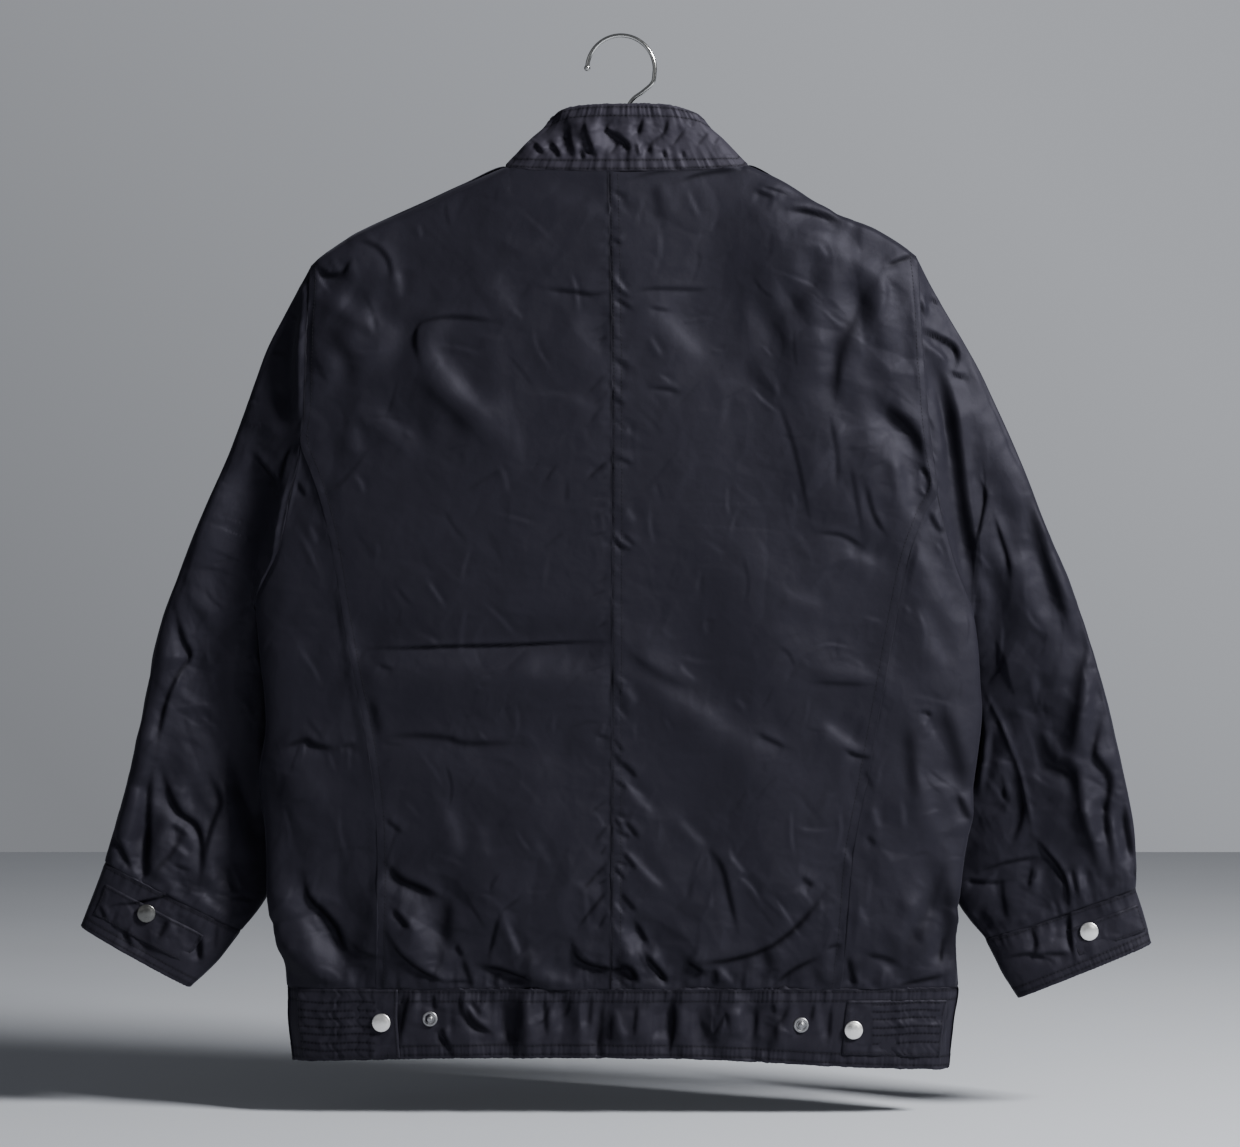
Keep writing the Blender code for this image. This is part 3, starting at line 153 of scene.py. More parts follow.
sleeveCreases = [
    (3, 0.9, 0, 298, -528, 321, -580, 333, -622, 339, -652),
    (3, -1.5, 0, 295, -529, 318, -581, 330, -623, 336, -652),
    (3.4, -3.6, 0, 338, -652, 348, -664, 357, -676, 363, -689, 365, -712),
    (7, -4.4, 0, -385, -640, -386, -690), (9, -3.6, 0, -297, -520, -302, -580, -300, -640),
    (14, -8.5, 0, -258, -212, -266, -254, -267, -293, -269, -323),
    (4, -3.4, 0, -299, -340, -287, -355, -277, -363), (4, -3.4, 0, -267, -331, -273, -344, -276, -362),
    (20, 3.0, 0, -312, -332, -323, -380, -350, -446), (10, 2.0, 0, -287, -284, -278, -314, -287, -338),
    (24, -10.0, 0, -276, -330, -290, -400, -306, -440, -318, -500),
    (23, -10.0, 0, -316, -450, -325, -518, -316, -583, -298, -660),
    (5, -4.2, 0, -364, -464, -357, -488, -351, -504, -362, -521, -371, -542, -376, -566, -378, -586),
    (5, -4.0, 0, -380, -589, -384, -613, -385, -643, -388, -687),
    (8, 3.0, 0, -374, -557, -377, -577, -381, -613), (7, 2.6, 0, -350, -485, -359, -524, -365, -548),
    (5, -3.6, 0, -375, -595, -368, -616, -360, -631, -347, -641, -342, -655, -342, -673, -345, -694),
    (5, -3.2, 0, -335, -601, -326, -621, -332, -637, -337, -652, -341, -673),
    (9, 3.4, 0, -320, -577, -311, -619, -300, -673), (4, -2.2, 0, -323, -672, -317, -688, -311, -697),
    (5, -3.2, 0, -413, -648, -405, -664, -398, -680), (8, 2.4, 0, -390, -601, -393, -631, -397, -667),
    (9, -2.4, 0, -373, -625, -379, -652, -376, -673), (6, 2.2, 0, -356, -607, -351, -631),
    (4, -1.6, 0, -368, -640, -353, -651), (4, 1.6, 0, -365, -655, -351, -667),
    (4, -1.5, 0, -365, -673, -350, -679), (5, 1.8, 0, -332, -667, -329, -694),
    (6, 2.0, 0, -418, -649, -409, -664),
    (7, -7.0, 0.2, 248, -258, 261, -280, 267, -308, 272, -339, 277, -379, 284, -416, 288, -457),
    (4, -3.4, 0, 241, -237, 255, -243, 271, -251, 274, -262, 269, -272),
    (3.5, -2.6, 0, 267, -273, 277, -276, 284, -275), (4, 2.8, 0, 246, -248, 261, -258, 266, -268),
    (3, -2.4, 0, 240, -213, 246, -227), (3, -2.2, 0, 253, -211, 259, -217),
    (3, 2.0, 0, 247, -210, 250, -223), (16, 3.2, 0, 289, -280, 305, -324, 309, -358),
    (6, 3.2, 0, 255, -280, 261, -317, 266, -355), (4, -3.0, 0, 292, -361, 296, -373, 290, -401, 286, -413),
    (7, -4.4, 0.2, 333, -367, 339, -401, 353, -447, 367, -488), (8, 2.8, 0, 303, -373, 311, -410, 315, -438),
    (5, -2.4, 0, 303, -389, 314, -423, 317, -444), (10, 2.8, 0, 323, -401, 333, -441, 348, -485),
    (7, 2.4, 0, 291, -432, 300, -457, 295, -488), (6, -4.4, 0, 295, -548, 294, -582, 290, -614),
    (4, 3.0, 0, 302, -560, 300, -588, 295, -619), (7, 2.8, 0, 333, -560, 317, -591, 308, -619),
    (6, -3.0, 0, 324, -606, 328, -631, 320, -658),
    (7, -4.4, 0.3, 347, -551, 342, -566, 351, -588, 367, -597, 373, -631, 382, -659, 389, -688),
    (7, -4.4, 0.3, 380, -489, 373, -520, 367, -566, 364, -589), (7, 3.4, 0, 386, -517, 381, -557, 379, -588),
    (6, -3.4, 0, 392, -551, 385, -582, 398, -603, 395, -634, 401, -681), (7, 3.0, 0, 384, -619, 386, -656),
    (6, 3.0, 0, 402, -631, 411, -675), (5, -3.2, 0, 410, -622, 416, -656, 421, -670),
    (3.5, -4.2, 0, 423, -669, 418, -685), (3.5, -2.8, 0, 292, -681, 317, -672, 346, -667),
    (3, -2.2, 0, 279, -687, 302, -689, 319, -687), (6, 2.0, 0, 295, -675, 323, -665),
    (8, 2.0, 0, 280, -656, 305, -650, 333, -631), (4, -2.2, 0, 336, -675, 333, -693),
    (5, 2.0, 0, 343, -672, 339, -699), (4, -1.6, 0, 311, -510, 298, -529), (5, 1.8, 0, 337, -517, 340, -535),
    (5, -1.8, 0, 311, -597, 314, -625), (4, -2.0, 0, 367, -675, 373, -699),
    (4, 1.8, 0, 373, -672, 379, -699)]
bandCreases = [
    (9, -4.5, 0, -83, -774, -82, -800, -86, -826), (6, -3.5, 0, -14, -783, -16, -800, -19, -826),
    (5, -3.5, 0, 41, -778, 43, -800, 38, -826), (10, -4.0, 0, 72, -778, 70, -806, 78, -820),
    (7, -4.2, 0, 135, -786, 125, -803, 121, -826), (5, -4.8, 0, -177, -774, -180, -800, -183, -828),
    (8, 2.6, 0, -100, -780, -100, -815), (9, 2.6, 0, -55, -785, -45, -810), (8, 2.6, 0, 20, -785, 22, -815),
    (8, 2.4, 0, 100, -785, 103, -812), (7, 2.4, 0, -150, -785, -152, -805),
    (3, -2.6, 0, -148, -806, -141, -813, -137, -824), (4, -3.2, 0, -126, -785, -119, -798, -104, -808),
    (3, -2.4, 0, -58, -784, -62, -796, -68, -801), (4, 2.2, 0, -10, -783, -21, -814),
    (4, 2.0, 0, -5, -783, 4, -814), (4, -2.4, 0, -8, -794, -8, -814), (4, -2.2, 0, 13, -783, 10, -811),
    (4, 2.0, 0, 26, -783, 27, -814), (4, -2.4, 0, 41, -780, 40, -814), (5, 2.2, 0, 52, -783, 51, -813),
    (4, -2.2, 0, 63, -786, 66, -799, 75, -808, 85, -792, 88, -808), (4, 2.0, 0, 74, -783, 75, -795),
    (4, 2.0, 0, 97, -783, 99, -814), (4, -2.0, 0, 109, -786, 108, -814), (4, -2.2, 0, 122, -783, 125, -792),
    (5, -3.0, 0, 136, -783, 131, -795, 125, -802, 125, -817), (5, 2.4, 0, 143, -783, 140, -814),
    (4, -2.2, 0, 156, -783, 153, -799), (4, 2.0, 0, 161, -786, 163, -814),
    (4, -2.0, 0, 170, -786, 168, -814), (3, -1.4, 0, 246, -783, 247, -799),
    (3, -1.4, 0, 266, -786, 261, -814), (6, -3.6, 0, -171, -772, -180, -814),
    (5, 2.4, 0, -162, -775, -167, -802), (4, -2.4, 0, -152, -775, -150, -790),
    (4, -2.2, 0, -146, -802, -140, -817), (4, 2.0, 0, -140, -775, -139, -811),
    (5, -2.8, 0, -131, -772, -128, -790, -116, -802, -105, -807), (4, -1.8, 0, -122, -780, -113, -793),
    (5, 2.2, 0, -110, -772, -107, -796), (8, -2.6, 0, -93, -775, -90, -796, -80, -817),
    (5, 2.4, 0, -99, -775, -98, -808), (5, 2.2, 0, -76, -772, -72, -811), (4, -2.2, 0, -62, -775, -60, -811),
    (4, 2.0, 0, -52, -772, -51, -811), (4, -2.2, 0, -41, -778, -44, -790, -50, -796),
    (4, 2.0, 0, -32, -772, -30, -811), (4, 2.4, 0, -8, -775, -20, -814), (4, -2.2, 0, -23, -775, -25, -802)]
collarCreases = [
    (2.8, -3.2, 0, -71, -86, -67, -91, -62, -96), (3, -3.4, 0, -58, -86, -53, -92, -49, -100),
    (3.4, -3.6, 0, -44, -70, -42, -84, -38, -99), (3.4, -3.8, 0, -30, -67, -28, -82, -20, -100),
    (2.6, -2.6, 0, -33, -92, -29, -101), (2.6, -2.4, 0, -26, -90, -23, -96),
    (3.6, -4.4, 0, -6, -67, -12, -76, -1, -83, 6, -91, 4, -101), (3.4, -2.8, 0, -2, -84, -5, -92, -11, -98),
    (3.4, -3.8, 0, 18, -66, 16, -74, 14, -83), (3.4, -4.0, 0, 38, -66, 35, -79, 24, -89, 26, -100),
    (2.8, -3.2, 0, 52, -76, 46, -84, 41, -90), (2.6, -2.6, 0, 34, -92, 37, -100),
    (2.6, -2.4, 0, 12, -88, 14, -99), (3, -2.2, 0, 71, -77, 66, -84, 61, -90),
    (3, -2.0, 0, 80, -80, 75, -88), (2.6, -1.8, 0, 50, -93, 52, -100), (2.8, -2.2, 0, -78, -72, -84, -82),
    (3, -2.0, 0, 60, -68, 56, -74), (6, 3.4, 0, -52, -80, -50, -92),
    (7, 3.8, 0, -18, -68, -15, -82, -14, -97), (5, 2.8, 0, 25, -70, 22, -80), (5, 3.0, 0, 9, -72, 9, -82),
    (5, 2.8, 0, 15, -89, 18, -98), (5, 2.8, 0, 46, -72, 40, -82), (5, 2.2, 0, 62, -78, 57, -88),
    (4, 2.2, 0, -64, -84, -59, -92), (4, 2.4, 0, -35, -86, -33, -97),
    (13, -6.0, 0, -92, -92, -80, -74, -62, -60), (13, -4.4, 0, -62, -58, -50, -66, -38, -68),
    (9, -3.0, 0, -37, -70, -34, -84)]
cuffCreases = [
    (24, 5.0, 0, 305, -716, 355, -728, 405, -712),
    (3.2, -4.0, 0, -424, -712, -412, -706, -392, -704, -359, -697, -330, -701, -326, -715, -313, -727),
    (3, -2.5, 0, -425, -706, -419, -717), (6, 3.0, 0, -362, -711, -367, -724),
    (5, -3.4, 0, -368, -716, -378, -735), (8, -3.2, 0, -384, -720, -384, -748),
    (4, -2.8, 0, -344, -730, -343, -754), (5, -2.4, 0, -405, -722, -398, -742),
    (3.4, -4.2, 0, 363, -689, 365, -712, 366, -732, 369, -750), (8, 3.2, 0, 352, -655, 363, -672, 372, -692),
    (6, 2.8, 0, 322, -668, 312, -690, 306, -712), (4, -3.4, 0, 302, -706, 306, -722, 312, -738),
    (3, -2.6, 0, 312, -750, 334, -746, 352, -752), (3, -1.8, 0, 396, -681, 425, -685),
    (4, -2.4, 0, 387, -684, 391, -694, 385, -700), (5, 2.2, 0, 402, -690, 408, -716),
    (4, -2.6, 0, -387, -656, -388, -684), (4, -2.4, 0, -341, -652, -341, -693),
    (4, -2.2, 0, -321, -684, -314, -696), (4, -2.2, 0, -369, -721, -376, -733),
    (4, -2.2, 0, -344, -733, -344, -753), (4, 2.2, 0, -365, -720, -363, -733),
    (4, 1.8, 0, -356, -718, -355, -745), (4, 2.0, 0, -378, -718, -381, -727),
    (3, -1.6, 0, -329, -718, -332, -745), (3, -1.6, 0, -400, -721, -403, -736),
    (4, -2.2, 0, 343, -718, 336, -724), (4, -2.4, 0, 339, -746, 367, -746),
    (4, -2.4, 0, 333, -721, 339, -737, 336, -749), (4, -2.2, 0, 293, -679, 315, -675, 339, -669),
    (4, -2.0, 0, 280, -687, 307, -688), (4, -2.2, 0, 339, -676, 334, -691),
    (4, -2.4, 0, 330, -717, 334, -725), (4, -2.0, 0, 339, -737, 336, -745),
    (4, 2.0, 0, 311, -681, 333, -678), (4, 2.0, 0, 323, -693, 326, -721), (4, 1.8, 0, 353, -718, 351, -737)]

cloth = {
    "seamRoll": 1.5,            # how far from a seam the edge starts to turn under, in mm
    "seamDrop": 0.40,
    "seamShade": (0.65, 1.6),   # darkest share and reach in mm of the painted shade along a seam
    "seamHold": (0.35, 9),      # share of the creases left at a seam, and where they are whole again
    "foldHold": (1.0, 10),      # the same for a folded edge: its start and its reach
    # laidShade: reach of the painted shade at a laid piece's rim
    "laidShade": 1.6,
    "lapWidth": 7.0,            # felled seam allowance that shows as a raised band
    "lapRise": 0.10,
    "hemTurn": 0.0009,          # radius of a turned edge, in metres
    "hemAngles": (30, 60, 90, 120, 150, 180),
    "hemDepth": 0.014,
    "tuckOut": 0.0016,          # seam allowance that goes under the next piece, in metres
    "tuckIn": 0.0011,
    "seamGap": 0.0003,
    "threadSink": 0.06,
    "threadRow": 1.1,           # half width of the dent along a row of stitches, in mm
    "threadLength": 0.0021,
    "threadThick": 0.00022,
    "stitchPitch": 0.0031,
    "mirrorDrop": 22,           # how far the mirrored creases of the other side are moved down, in mm
    "broad": 40,                # creases from this width on run across the side seams
    # darkest: most painted shade that a fold may get
    "darkest": 0.8,
}

# points of each solid's outer side, down and across
gridSizes = {
    "back": (27, 13), "side": (19, 6), "front": (25, 13), "waist_back": (6, 67), "collar": (5, 27),
    "waist_front": (6, 25), "waist_tab_left": (6, 11), "waist_tab_right": (4, 11),
    "cuff_tab_left": (3, 9), "cuff_tab_right": (3, 7), "sleeve": (21, 11), "cuff": (5, 15)}


def gridSize(name):
    return next(gridSizes[key] for key in sorted(gridSizes, key=len, reverse=True) if name.startswith(key))


def faceGroups(bm):
    seen, groups = set(), []
    for first in bm.faces:
        if first in seen:
            continue
        group, waiting = [], [first]
        seen.add(first)
        while waiting:
            face = waiting.pop()
            group.append(face)
            for edge in face.edges:
                for other in edge.link_faces:
                    if other not in seen:
                        seen.add(other)
                        waiting.append(other)
        groups.append(group)
    return sorted(groups, key=len)


def borderLoop(bm):
    start = next(vert for vert in bm.verts if vert.is_boundary)
    loop, previous, here = [start], None, start
    while True:
        ahead = [edge.other_vert(here) for edge in here.link_edges
                 if edge.is_boundary and edge.other_vert(here) is not previous]
        previous, here = here, ahead[0]
        if here is start:
            return loop
        loop.append(here)


def walkGrid(bm, grid, placed):
    # Fill the inner points cell by cell, through the triangles that share two known points.
    for row in range(1, len(grid) - 1):
        for col in range(1, len(grid[0]) - 1):
            corner, above, beside = grid[row - 1][col - 1], grid[row - 1][col], grid[row][col - 1]
            edge = bm.edges.get((corner, above))
            thirds = [vert for face in (edge.link_faces if edge else ()) for vert in face.verts
                      if vert not in (corner, above) and (vert is beside or vert not in placed)]
            found = thirds[0] if thirds else None
            if found is beside:
                edge = bm.edges.get((above, beside))
                found = next((vert for face in edge.link_faces for vert in face.verts
                              if vert not in (corner, above, beside)), None) if edge else None
            if found is None:
                return False
            grid[row][col] = found
            placed.add(found)
    return True


def stretchGrid(bm, points):
    # Inner points between the four borders, set down on the surface.
    down = np.linspace(0, 1, points.shape[0])[:, None, None]
    over = np.linspace(0, 1, points.shape[1])[None, :, None]
    across = (1 - over) * points[:, :1] + over * points[:, -1:]
    along = (1 - down) * points[:1] + down * points[-1:]
    corners = ((1 - down) * ((1 - over) * points[0, 0] + over * points[0, -1])
               + down * ((1 - over) * points[-1, 0] + over * points[-1, -1]))
    guess = across + along - corners
    tree = BVHTree.FromBMesh(bm)
    for row in range(1, points.shape[0] - 1):
        for col in range(1, points.shape[1] - 1):
            points[row, col] = tree.find_nearest(Vector(guess[row, col]))[0]
    return points


def outerSide(name):
    # The solid's outer side alone, found where its wall turns sharply at the rim.
    for limit in (100, 80, 65):
        bm = bmesh.new()
        bm.from_mesh(nodes[name].data)
        bmesh.ops.remove_doubles(bm, verts=bm.verts, dist=0.00002)
        turns = [edge for edge in bm.edges if len(edge.link_faces) == 2
                 and edge.calc_face_angle() > math.radians(limit)]
        bmesh.ops.split_edges(bm, edges=turns)
        groups = faceGroups(bm)
        if len(groups) == 2:
            break
        bm.free()
    bmesh.ops.delete(bm, geom=groups[1], context="FACES")
    bmesh.ops.remove_doubles(bm, verts=bm.verts, dist=0.00001)
    return bm


def outerGrid(name):
    rows, cols = gridSize(name)
    bm = outerSide(name)
    loop = borderLoop(bm)
    count = len(loop)
    turnAt = [sum(corner.calc_angle() for corner in vert.link_loops) for vert in loop]
    options = []
    for down, over in ((rows - 1, cols - 1), (cols - 1, rows - 1)):
        for start in range(count):
            corners = (0, down, down + over, 2 * down + over)
            options.append((sum(turnAt[(start + step) % count] for step in corners), start, down, over))
    _, start, down, over = min(options)
    border = loop[start:] + loop[:start]
    grid = [[None] * (over + 1) for _ in range(down + 1)]
    for row in range(down + 1):
        grid[row][0] = border[row]
        grid[down - row][over] = border[down + over + row]
    for col in range(over + 1):
        grid[down][col] = border[down + col]
        grid[0][over - col] = border[(2 * down + over + col) % count]
    whole = walkGrid(bm, grid, set(loop))
    points = np.array([[tuple(vert.co) if vert else (0.0, 0.0, 0.0) for vert in line] for line in grid])
    if not whole:
        points = stretchGrid(bm, points)
    bm.free()
    if points.shape[:2] != (rows, cols):
        points = points.transpose(1, 0, 2)
    if points[0, :, 2].mean() < points[-1, :, 2].mean():
        points = points[::-1]
    if points[:, 0, 0].mean() > points[:, -1, 0].mean():
        points = points[:, ::-1]
    return points


def smoothStep(value):
    value = np.clip(value, 0.0, 1.0)
    return value * value * (3 - 2 * value)


def cubicAlong(points, places):
    padded = np.concatenate([2 * points[:1] - points[1:2], points, 2 * points[-1:] - points[-2:-1]])
    low = np.clip(np.floor(places).astype(int), 0, len(points) - 2)
    part = (places - low).reshape(-1, *[1] * (points.ndim - 1))
    before, here, after, beyond = (padded[low + step] for step in range(4))
    return (here + part * (after - before) / 2 + part ** 2 * (before - 2.5 * here + 2 * after - beyond / 2)
            + part ** 3 * (1.5 * (here - after) + (beyond - before) / 2))


def meanReach(points, axis):
    # How far each line of points lies from the first, in metres.
    steps = np.linalg.norm(np.diff(points, axis=axis), axis=2).mean(axis=1 - axis)
    return np.concatenate([[0.0], np.cumsum(steps)])


def refine(points, cell):
    for axis in (0, 1):
        reach = meanReach(points, 0)
        count = max(int(round(reach[-1] / (cell / 1000))), 2)
        places = np.interp(np.linspace(0, reach[-1], count + 1), reach, np.arange(len(points)))
        points = cubicAlong(points, places).transpose(1, 0, 2)
    return points


def gridNormals(points, face):
    normals = np.cross(np.gradient(points, axis=0), np.gradient(points, axis=1))
    normals /= np.linalg.norm(normals, axis=2, keepdims=True) + 1e-12
    outward = np.array([0.0, face, 0.0]) if face else points - points.mean(axis=(0, 1))
    return normals if (normals * outward).sum() > 0 else -normals


def edgeReach(points):
    # Distance in mm from the top, bottom, left and right borders.
    down = np.linalg.norm(np.diff(points, axis=0), axis=2) * 1000
    over = np.linalg.norm(np.diff(points, axis=1), axis=2) * 1000
    top = np.vstack([np.zeros(down.shape[1]), np.cumsum(down, axis=0)])
    left = np.hstack([np.zeros((over.shape[0], 1)), np.cumsum(over, axis=1)])
    return {"top": top, "bottom": top[-1:] - top, "left": left, "right": left[:, -1:] - left}


def smoothPath(bends):
    bends = np.array(bends, dtype=float).reshape(-1, 2)
    if len(bends) < 3:
        return bends
    return cubicAlong(bends, np.linspace(0, len(bends) - 1, (len(bends) - 1) * 4 + 1))


folds = {
    "narrow": 6.5,              # width in mm under which a dark fold is a sharp one
    "squeeze": 0.62,            # what a sharp fold's width is multiplied by
    "puff": (1.45, 1.5),        # what a bright broad fold's width and height are multiplied by
    "reach": 5.0,               # in widths
    "lean": 1.35,
    "towards": (0.72, 0.69),    # the way each face leans, right and up
    "round": (8, 2.2),          # from this width on the face bends softly, and how softly
    "ends": (0.15, 0.3),        # share of the height at each end, and of the length over which it grows
    "falloff": (1.0, 1.4),      # of sharp and of other folds
    "dip": (0.35, 0.8),         # dent along a sharp fold: share of its depth and spread in widths
    "sharpShade": (0.62, 0.7, 3.4),     # painted shade of sharp folds, then of soft ones: darkest share, spread in widths and depth at which it is whole
    "softShade": (0.40, 0.8, 5.0),
    "unshaded": 14,             # width from which a fold has no painted shade
}


def nearPath(px, pz, path):
    # Distance to the path, which side of it each point lies on, how far along, and the path's length.
    best = np.full(px.shape, 1e9)
    toward, along = np.zeros(px.shape), np.zeros(px.shape)
    right, up = folds["towards"]
    start = 0.0
    for (ax, az), (bx, bz) in zip(path, path[1:]):
        length = math.hypot(bx - ax, bz - az)
        dx, dz = (bx - ax) / length, (bz - az) / length
        run = np.clip((px - ax) * dx + (pz - az) * dz, 0, length)
        gx, gz = px - ax - run * dx, pz - az - run * dz
        away = gx * gx + gz * gz
        closer = away < best
        best = np.where(closer, away, best)
        toward = np.where(closer, right * gx + up * gz, toward)
        along = np.where(closer, start + run, along)
        start += length
    return np.sqrt(best), toward, along, start


def creaseLift(x, z, rows):
    # Height of the creases in mm, and the painted shade of each fold's core, from 0 to 1.
    lift, shade = np.zeros(x.shape), np.zeros(x.shape)
    for width, depth, skew, *bends in rows:
        if depth > 0 and width > folds["narrow"]:
            width, depth = folds["puff"][0] * width, folds["puff"][1] * depth
        narrow = depth < 0 and width < folds["narrow"]
        if narrow:
            width = folds["squeeze"] * width
        path = smoothPath(bends)
        reach = folds["reach"] * width
        low, high = path.min(axis=0) - reach, path.max(axis=0) + reach
        near = (x > low[0]) & (x < high[0]) & (z > low[1]) & (z < high[1])
        if not near.any():
            continue
        away, toward, along, length = nearPath(x[near], z[near], path)
        if width > folds["round"][0]:
            toward = away * np.tanh(folds["round"][1] * toward / (away + 0.001))
        least, growth = folds["ends"]
        fade = least + (1 - least) * smoothStep(np.minimum(along, length - along) / length / growth)
        lean = toward / width * np.exp(-(away / width) ** folds["falloff"][0 if narrow else 1])
        if skew:
            lean *= np.where(toward > 0, 1 + skew, 1 - skew)
        lift[near] -= folds["lean"] * depth * lean * fade
        if narrow:
            lift[near] += folds["dip"][0] * depth * np.exp(-away / (folds["dip"][1] * width)) * fade
        # Painted shade darkens the core of sharp folds and of narrow dark ones.
        if narrow or (depth < 0 and width < folds["unshaded"]):
            most, spread, whole = folds["sharpShade" if narrow else "softShade"]
            core = most * np.exp(-(away / (spread * width)) ** 2) * fade * min(1.0, -depth / whole)
            shade[near] = np.maximum(shade[near], core)
    return lift, shade


stray = {
    "turns": [0.9, 2.2, 0.15, 1.4], "turnSpread": 0.35,     # in radians
    "length": (10, 42), "bend": 0.12, "width": (1.7, 3.0),
    "share": (0.3, 1.0), "ways": [1.0, 1.0, -0.6],
}


def strayCreases(seed, count, box, strength):
    # Fine straight creases that lie anywhere, as in cloth that was packed.
    source = np.random.default_rng(seed)
    rows = []
    for _ in range(count):
        x, z = source.uniform(box[0], box[1]), source.uniform(box[2], box[3])
        turn = source.choice(stray["turns"]) + source.normal(0, stray["turnSpread"])
        length = source.uniform(*stray["length"])
        bend = source.normal(0, stray["bend"])
        dx, dz = math.cos(turn) * length / 2, math.sin(turn) * length / 2
        rise = strength * source.uniform(*stray["share"]) * source.choice(stray["ways"])
        width = source.uniform(*stray["width"])
        rows.append((width, rise, 0.0, x - dx, z - dz, x - dz * bend, z + dx * bend, x + dx, z + dz))
    return rows


def wobble(along, pitch, seed):
    values = np.random.default_rng(seed).normal(0, 1, 2048)
    place = along / pitch
    low = np.floor(place).astype(int)
    part = smoothStep(place - low)
    return values[low % len(values)] * (1 - part) + values[(low + 1) % len(values)] * part


crumple = {
    "broad": (0.085, 1.1),      # size in metres, height in mm
    "crest": (0.034, 0.40),
    "groove": (0.039, -0.40),
    "fine": (0.012, 0.13),
    "drift": (0.055, 0.012),    # size of the slow drift that bends them, and how far it moves them
    "masks": (0.45, 0.6),       # how much of the cloth has crests or grooves, and fine ones
    "sharp": (2.6, 2.4),
    "offset": (3.1, 7.7, 1.9),
}


def crumpleLift(points):
    lift = []
    broad, crest, groove, fine = (crumple[key] for key in ("broad", "crest", "groove", "fine"))
    (driftSize, warp), (mask, fineMask) = crumple["drift"], crumple["masks"]
    sharp, fineSharp = crumple["sharp"]
    still, offset = Vector(), Vector(crumple["offset"])
    for point in points.reshape(-1, 3):
        here = Vector(point)
        drift = noise.noise_vector(here / driftSize)
        moved = here + drift * warp
        value = broad[1] * noise.noise(here / broad[0])
        for (size, height), way, shift in ((crest, drift.x, still), (groove, drift.y, offset)):
            if way + mask > 0:
                line = 1 - sharp * abs(noise.noise(moved / size + shift))
                if line > 0:
                    value += height * (way + mask) * line * line
        line = 1 - fineSharp * abs(noise.noise(moved / fine[0] - offset))
        if line > 0:
            value += fine[1] * (drift.z + fineMask) * line * line
        lift.append(value)
    return np.array(lift).reshape(points.shape[:2])


def facetLift(x, z, seed, spacing, height):
    # Flat facets with sharp folds between them, as thin stiff cloth makes them.
    source = np.random.default_rng(seed)
    low = np.array([x.min(), z.min()]) - 2.5 * spacing
    count = np.ceil((np.array([x.max(), z.max()]) - low) / spacing).astype(int) + 3
    cells = np.stack(np.meshgrid(np.arange(count[0]), np.arange(count[1]), indexing="ij"), axis=2)
    cells = cells.reshape(-1, 2)
    spots = low + (cells + source.uniform(-0.48, 0.48, cells.shape)) * spacing
    drop = source.normal(0, height, len(spots))
    flat = geometry.delaunay_2d_cdt([Vector(spot) for spot in spots.tolist()], [], [], 0, 0.001)
    corners = [(spots[at[0]][0], spots[at[0]][1], drop[at[0]]) for at in flat[3]]
    tree = BVHTree.FromPolygons(corners, flat[2])
    down = Vector((0, 0, -1))
    places = zip(x.ravel().tolist(), z.ravel().tolist())
    values = [tree.ray_cast(Vector((px, pz, 100)), down)[0] for px, pz in places]
    return np.array([value.z if value else 0.0 for value in values]).reshape(x.shape)


# what each piece was cut to: width and length in mm, and its area in square metres, gathers let out
cuts = {
    "back_left": (276, 698, 0.1514), "back_right": (294, 699, 0.1593), "side_left": (139, 462, 0.0372),
    "side_right": (111, 426, 0.0366), "front_left": (324, 697, 0.1826), "front_right": (308, 697, 0.1728),
    "sleeve_left_back": (290, 533, 0.0565), "sleeve_left_front": (290, 533, 0.0554),
    "sleeve_right_back": (304, 568, 0.0635), "sleeve_right_front": (304, 568, 0.0641),
    "waist_back": (600, 68, 0.0405), "waist_front_left": (300, 61, 0.0180),
    "waist_front_right": (297, 68, 0.0200), "collar": (520, 68, 0.0290), "cuff_left_back": (145, 62, 0.0089),
    "cuff_left_front": (145, 62, 0.0089), "cuff_right_back": (150, 55, 0.0082),
    "cuff_right_front": (150, 55, 0.0082), "waist_tab_left": (86, 60, 0.0050),
    "waist_tab_right": (86, 49, 0.0041), "cuff_tab_left": (95, 30, 0.0027),
    "cuff_tab_right": (66, 25, 0.0016)}
sheets = {}       # finished points and normals of each piece, for the stitches sewn along it


def linkMesh(name, mesh):
    mesh.shade_smooth()
    made = bpy.data.objects.new(name, mesh)
    bpy.context.collection.objects.link(made)
    return made


def addMesh(name, bm):
    mesh = bpy.data.meshes.new(name)
    bm.to_mesh(mesh)
    bm.free()
    return linkMesh(name, mesh)


def sheetObject(name, points, face):
    rows, cols = points.shape[:2]
    bm = bmesh.new()
    bmesh.ops.create_grid(bm, x_segments=cols - 1, y_segments=rows - 1, size=1.0)
    for vert in bm.verts:
        col = round((vert.co.x + 1) / 2 * (cols - 1))
        row = round((1 - vert.co.y) / 2 * (rows - 1))
        vert.co = points[row, col]
        vert.index = row * cols + col
    bm.verts.sort()
    over, down = meanReach(points, 1), meanReach(points, 0)
    layer = bm.loops.layers.uv.new("cloth")
    for polygon in bm.faces:
        for corner in polygon.loops:
            row, col = divmod(corner.vert.index, cols)
            corner[layer].uv = (over[col], down[row])
    bm.normal_update()
    if face:
        total = sum((polygon.normal * polygon.calc_area() for polygon in bm.faces), Vector())
        wrong = total.dot(Vector((0, face, 0))) < 0
    else:
        middle = Vector(points.mean(axis=(0, 1)))
        wrong = sum(polygon.normal.dot(polygon.calc_center_median() - middle) for polygon in bm.faces) < 0
    if wrong:
        bmesh.ops.reverse_faces(bm, faces=bm.faces)
    return addMesh(name, bm)


